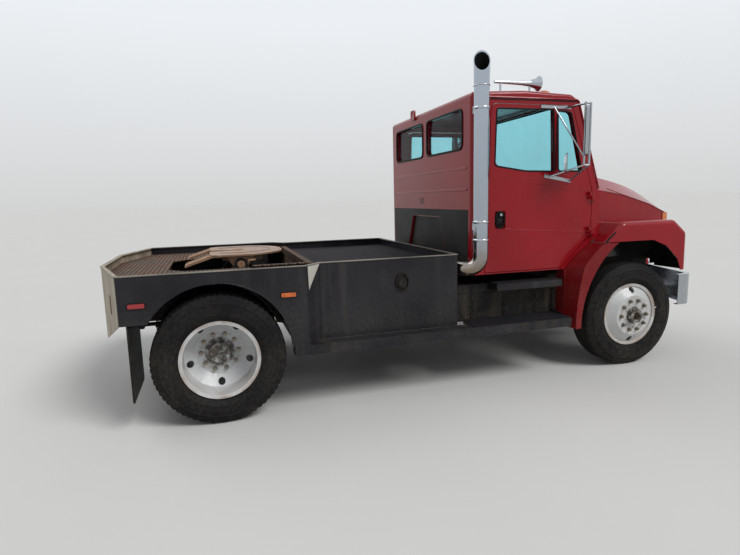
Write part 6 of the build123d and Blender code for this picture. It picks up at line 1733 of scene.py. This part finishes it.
@dataclass
class ChassisDetails:
    """U-bolts, dampers, box fittings, splash panels, flap hangers and the air tank.

    Places are given from the rear axle, and those of the damper and the splash panel from the
    front axle.
    """

    u_bolts: tuple[tuple[str, float, float, float], ...] = (
        ("front", FA, 0.490, 0.372), ("rear", RA, 0.676, 0.446))
    u_bolt_x: float = 0.046
    u_bolt_y: Pair = (0.338, 0.436)
    u_bolt_radius: float = 0.0080
    u_bolt_bend: float = 0.016
    damper: Line = ((-0.120, 0.520, 0.420), (-0.200, 0.520, 0.720))
    damper_radius: float = 0.026
    strap: Box = ((-0.016, 0.9052, 0.556), (0.016, 0.9090, 0.866))
    strap_x: tuple[float, ...] = (2.230, 2.560, 2.890)
    strap_rounding: Rounding = (0.0012, 1)
    end_plate: Box = ((3.0605, 0.860, 0.552), (3.195, 0.866, 0.900))
    end_plate_rounding: Rounding = (0.0015, 1)
    step_bridge: Box = ((2.002, 0.860, 0.5450), (3.190, 0.953, 0.5495))
    bridge_rounding: Rounding = (0.0010, 1)
    box_post: Box = ((2.006, 0.872, 0.552), (2.076, 0.903, 0.866))
    post_rounding: Rounding = (0.006, 3)
    splash_panel: Box = ((-0.470, 0.596, 0.800), (0.680, 0.600, 1.300))
    splash_rounding: Rounding = (0.060, 4)
    lid_seam: Line = ((2.084, 0.9062, 0.790), (3.056, 0.9062, 0.790))
    lid_seam_radius: float = 0.0035
    flap_bars: tuple[tuple[str, Line], ...] = (
        ("bar", ((-0.600, 0.560, 0.872), (-0.600, 1.205, 0.872))),
        ("hanger", ((-0.600, 0.560, 0.872), (-0.600, 0.425, 0.800))))
    flap_bar_radius: float = 0.0120
    tank: Line = ((0.980, 0.0, 0.560), (1.620, 0.0, 0.560))
    tank_radius: float = 0.110
    tank_rim: Pair = (0.030, 0.020)

    def build(self) -> None:
        """Build the parts under the truck."""
        for side in Side:
            self.springs(side)
            self.battery_box(side)
            Bench(f"splash_panel_{side.word}").block(*boxed(self.splash_panel, side, FA)).eased(
                Axis.Y, self.splash_rounding).done("chassis", Stock.box_dark)
            Bench(f"box_lid_seam_{side.word}").rod(place(self.lid_seam, side), self.lid_seam_radius).done(
                "chassis", Stock.seal)
            for name, line in self.flap_bars:
                Bench(f"flap_{name}_{side.word}").rod(place(line, side), self.flap_bar_radius).done(
                    "chassis", Stock.chassis_black)
        Bench("air_tank").rod(place(self.tank), self.tank_radius, fine=6).faces(
            lambda middle, normal: abs(normal.x) > ALIGNED).inset(*self.tank_rim).done(
            "chassis", Stock.chassis_black)

    def springs(self, side: Side) -> None:
        """U-bolts over the leaf springs, and the front damper."""
        inner, outer = self.u_bolt_y
        for name, x, top, foot in self.u_bolts:
            for word, ahead in (("aft", -self.u_bolt_x), ("fore", self.u_bolt_x)):
                line = place([(ahead, inner, foot), (ahead, inner, top), (ahead, outer, top), (ahead, outer, foot)],
                             side, x)
                Bench(f"u_bolt_{name}_{word}_{side.word}").rod(line, self.u_bolt_radius, self.u_bolt_bend).done(
                    "chassis", Stock.bolt_steel)
        Bench(f"damper_{side.word}").rod(place(self.damper, side, FA), self.damper_radius).done(
            "chassis", Stock.chassis_black)

    def battery_box(self, side: Side) -> None:
        """Straps, end plate, step bridge and post of one battery box."""
        for index, x in enumerate(self.strap_x):
            Bench(f"box_strap_{index}_{side.word}").block(*boxed(self.strap, side, RA + x)).all().bevel(
                *self.strap_rounding).done("chassis", Stock.seal)
        Bench(f"box_end_plate_{side.word}").block(*boxed(self.end_plate, side)).all().bevel(
            *self.end_plate_rounding).done("chassis", Stock.box_dark)
        Bench(f"step_bridge_{side.word}").block(*boxed(self.step_bridge, side)).all().bevel(
            *self.bridge_rounding).done("chassis", Stock.step_plate)
        Bench(f"box_post_{side.word}").block(*boxed(self.box_post, side)).eased(Axis.Z, self.post_rounding).done(
            "chassis", Stock.post_grey)


@dataclass
class Seats:
    """Two padded seats, filled by a cloth simulation and copied across."""

    y: float = 0.480
    cushion: Box = ((2.380, 0.248, 1.322), (2.840, 0.712, 1.432))
    back: Box = ((2.330, 0.255, 1.452), (2.420, 0.705, 2.000))
    back_lean: float = -6.0
    cuts: int = 9
    voxel: float = 0.011
    quick_voxel: float = 0.02
    pressure: float = 4.0
    frames: int = 20
    reach: float = 0.024

    def build(self) -> None:
        """Build the cushion and the back for each side."""
        pads = (self.start("cushion", self.cushion, 0.0), self.start("back", self.back, self.back_lean))
        for pad in pads:
            self.fill(pad)
        for pad in pads:
            self.across(pad)

    def start(self, name: str, corners: Box, lean: float) -> bpy.types.Object:
        """A flat pad, leaned back by so many degrees."""
        low, high = boxed(corners)
        bench = Bench(f"seat_{name}_left").block(low, high)
        bpy.ops.mesh.subdivide(number_cuts=self.cuts)
        bench.all().turned(lean, "Y", low)
        bpy.ops.object.mode_set(mode="OBJECT")
        piece = bpy.context.object
        piece.name = bench.name
        return piece

    def fill(self, piece: bpy.types.Object) -> None:
        """Swell the pad with a cloth simulation, no point further than its reach."""
        self.hold(piece)
        bpy.ops.object.modifier_add(type="REMESH")
        remesh = piece.modifiers[-1]
        remesh.mode = "VOXEL"
        remesh.voxel_size = self.voxel
        bpy.ops.object.modifier_apply(modifier=remesh.name)
        rest = [vertex.co.copy() for vertex in piece.data.vertices]
        bpy.ops.object.modifier_add(type="CLOTH")
        cloth = piece.modifiers[-1]
        cloth.settings.use_pressure = True
        cloth.settings.uniform_pressure_force = self.pressure
        cloth.settings.effector_weights.gravity = 0.0
        for step in range(1, self.frames + 1):
            bpy.context.scene.frame_set(step)
        bpy.ops.object.modifier_apply(modifier=cloth.name)
        for vertex, start in zip(piece.data.vertices, rest):
            move = vertex.co - start
            if move.length > self.reach:
                vertex.co = start + move.normalized() * self.reach
        bpy.context.scene.frame_set(1)

    def across(self, piece: bpy.types.Object) -> None:
        """Round the pad once more, finish it, and copy it to the right."""
        self.hold(piece)
        bpy.ops.object.modifier_add(type="SUBSURF")
        bpy.ops.object.modifier_apply(modifier=piece.modifiers[-1].name)
        bpy.ops.object.duplicate()
        twin = bpy.context.object
        twin.name = piece.name.replace("left", "right")
        bpy.ops.object.mode_set(mode="EDIT")
        bpy.ops.mesh.select_all(action="SELECT")
        bpy.ops.transform.translate(value=(0.0, -2.0 * self.y, 0.0))
        bpy.ops.object.mode_set(mode="OBJECT")
        for pad in (piece, twin):
            pad.data.name = pad.name
            pad.data.materials.append(Stock.seat_cloth.material())
            for polygon in pad.data.polygons:
                polygon.use_smooth = True
            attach(pad, "chassis")
            log.info("built %s", pad.name)
        if piece.name.startswith("seat_back"):
            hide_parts("seats")

    def hold(self, piece: bpy.types.Object) -> None:
        """Select one pad alone."""
        deselect()
        piece.select_set(True)
        bpy.context.view_layer.objects.active = piece


def main() -> None:
    """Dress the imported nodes, add the small parts and set up the studio."""
    logging.basicConfig(level=logging.INFO, format="%(name)s: %(message)s")
    bpy.context.scene.view_settings.view_transform = "Standard"
    Studio().build()
    for node, finish in NODE_FINISHES.items():
        dress(node, finish)
    for stem, finish in SIDE_FINISHES.items():
        for side in Side:
            dress(f"{stem}_{side.word}", finish)
    for part in (Tyres(), WheelFittings(), BedDetails(), CouplingDetails(), CabDetails(), HoodDetails(),
                 MirrorDetails(), ChassisDetails(), Seats()):
        part.build()


if __name__ == "__main__":
    main()
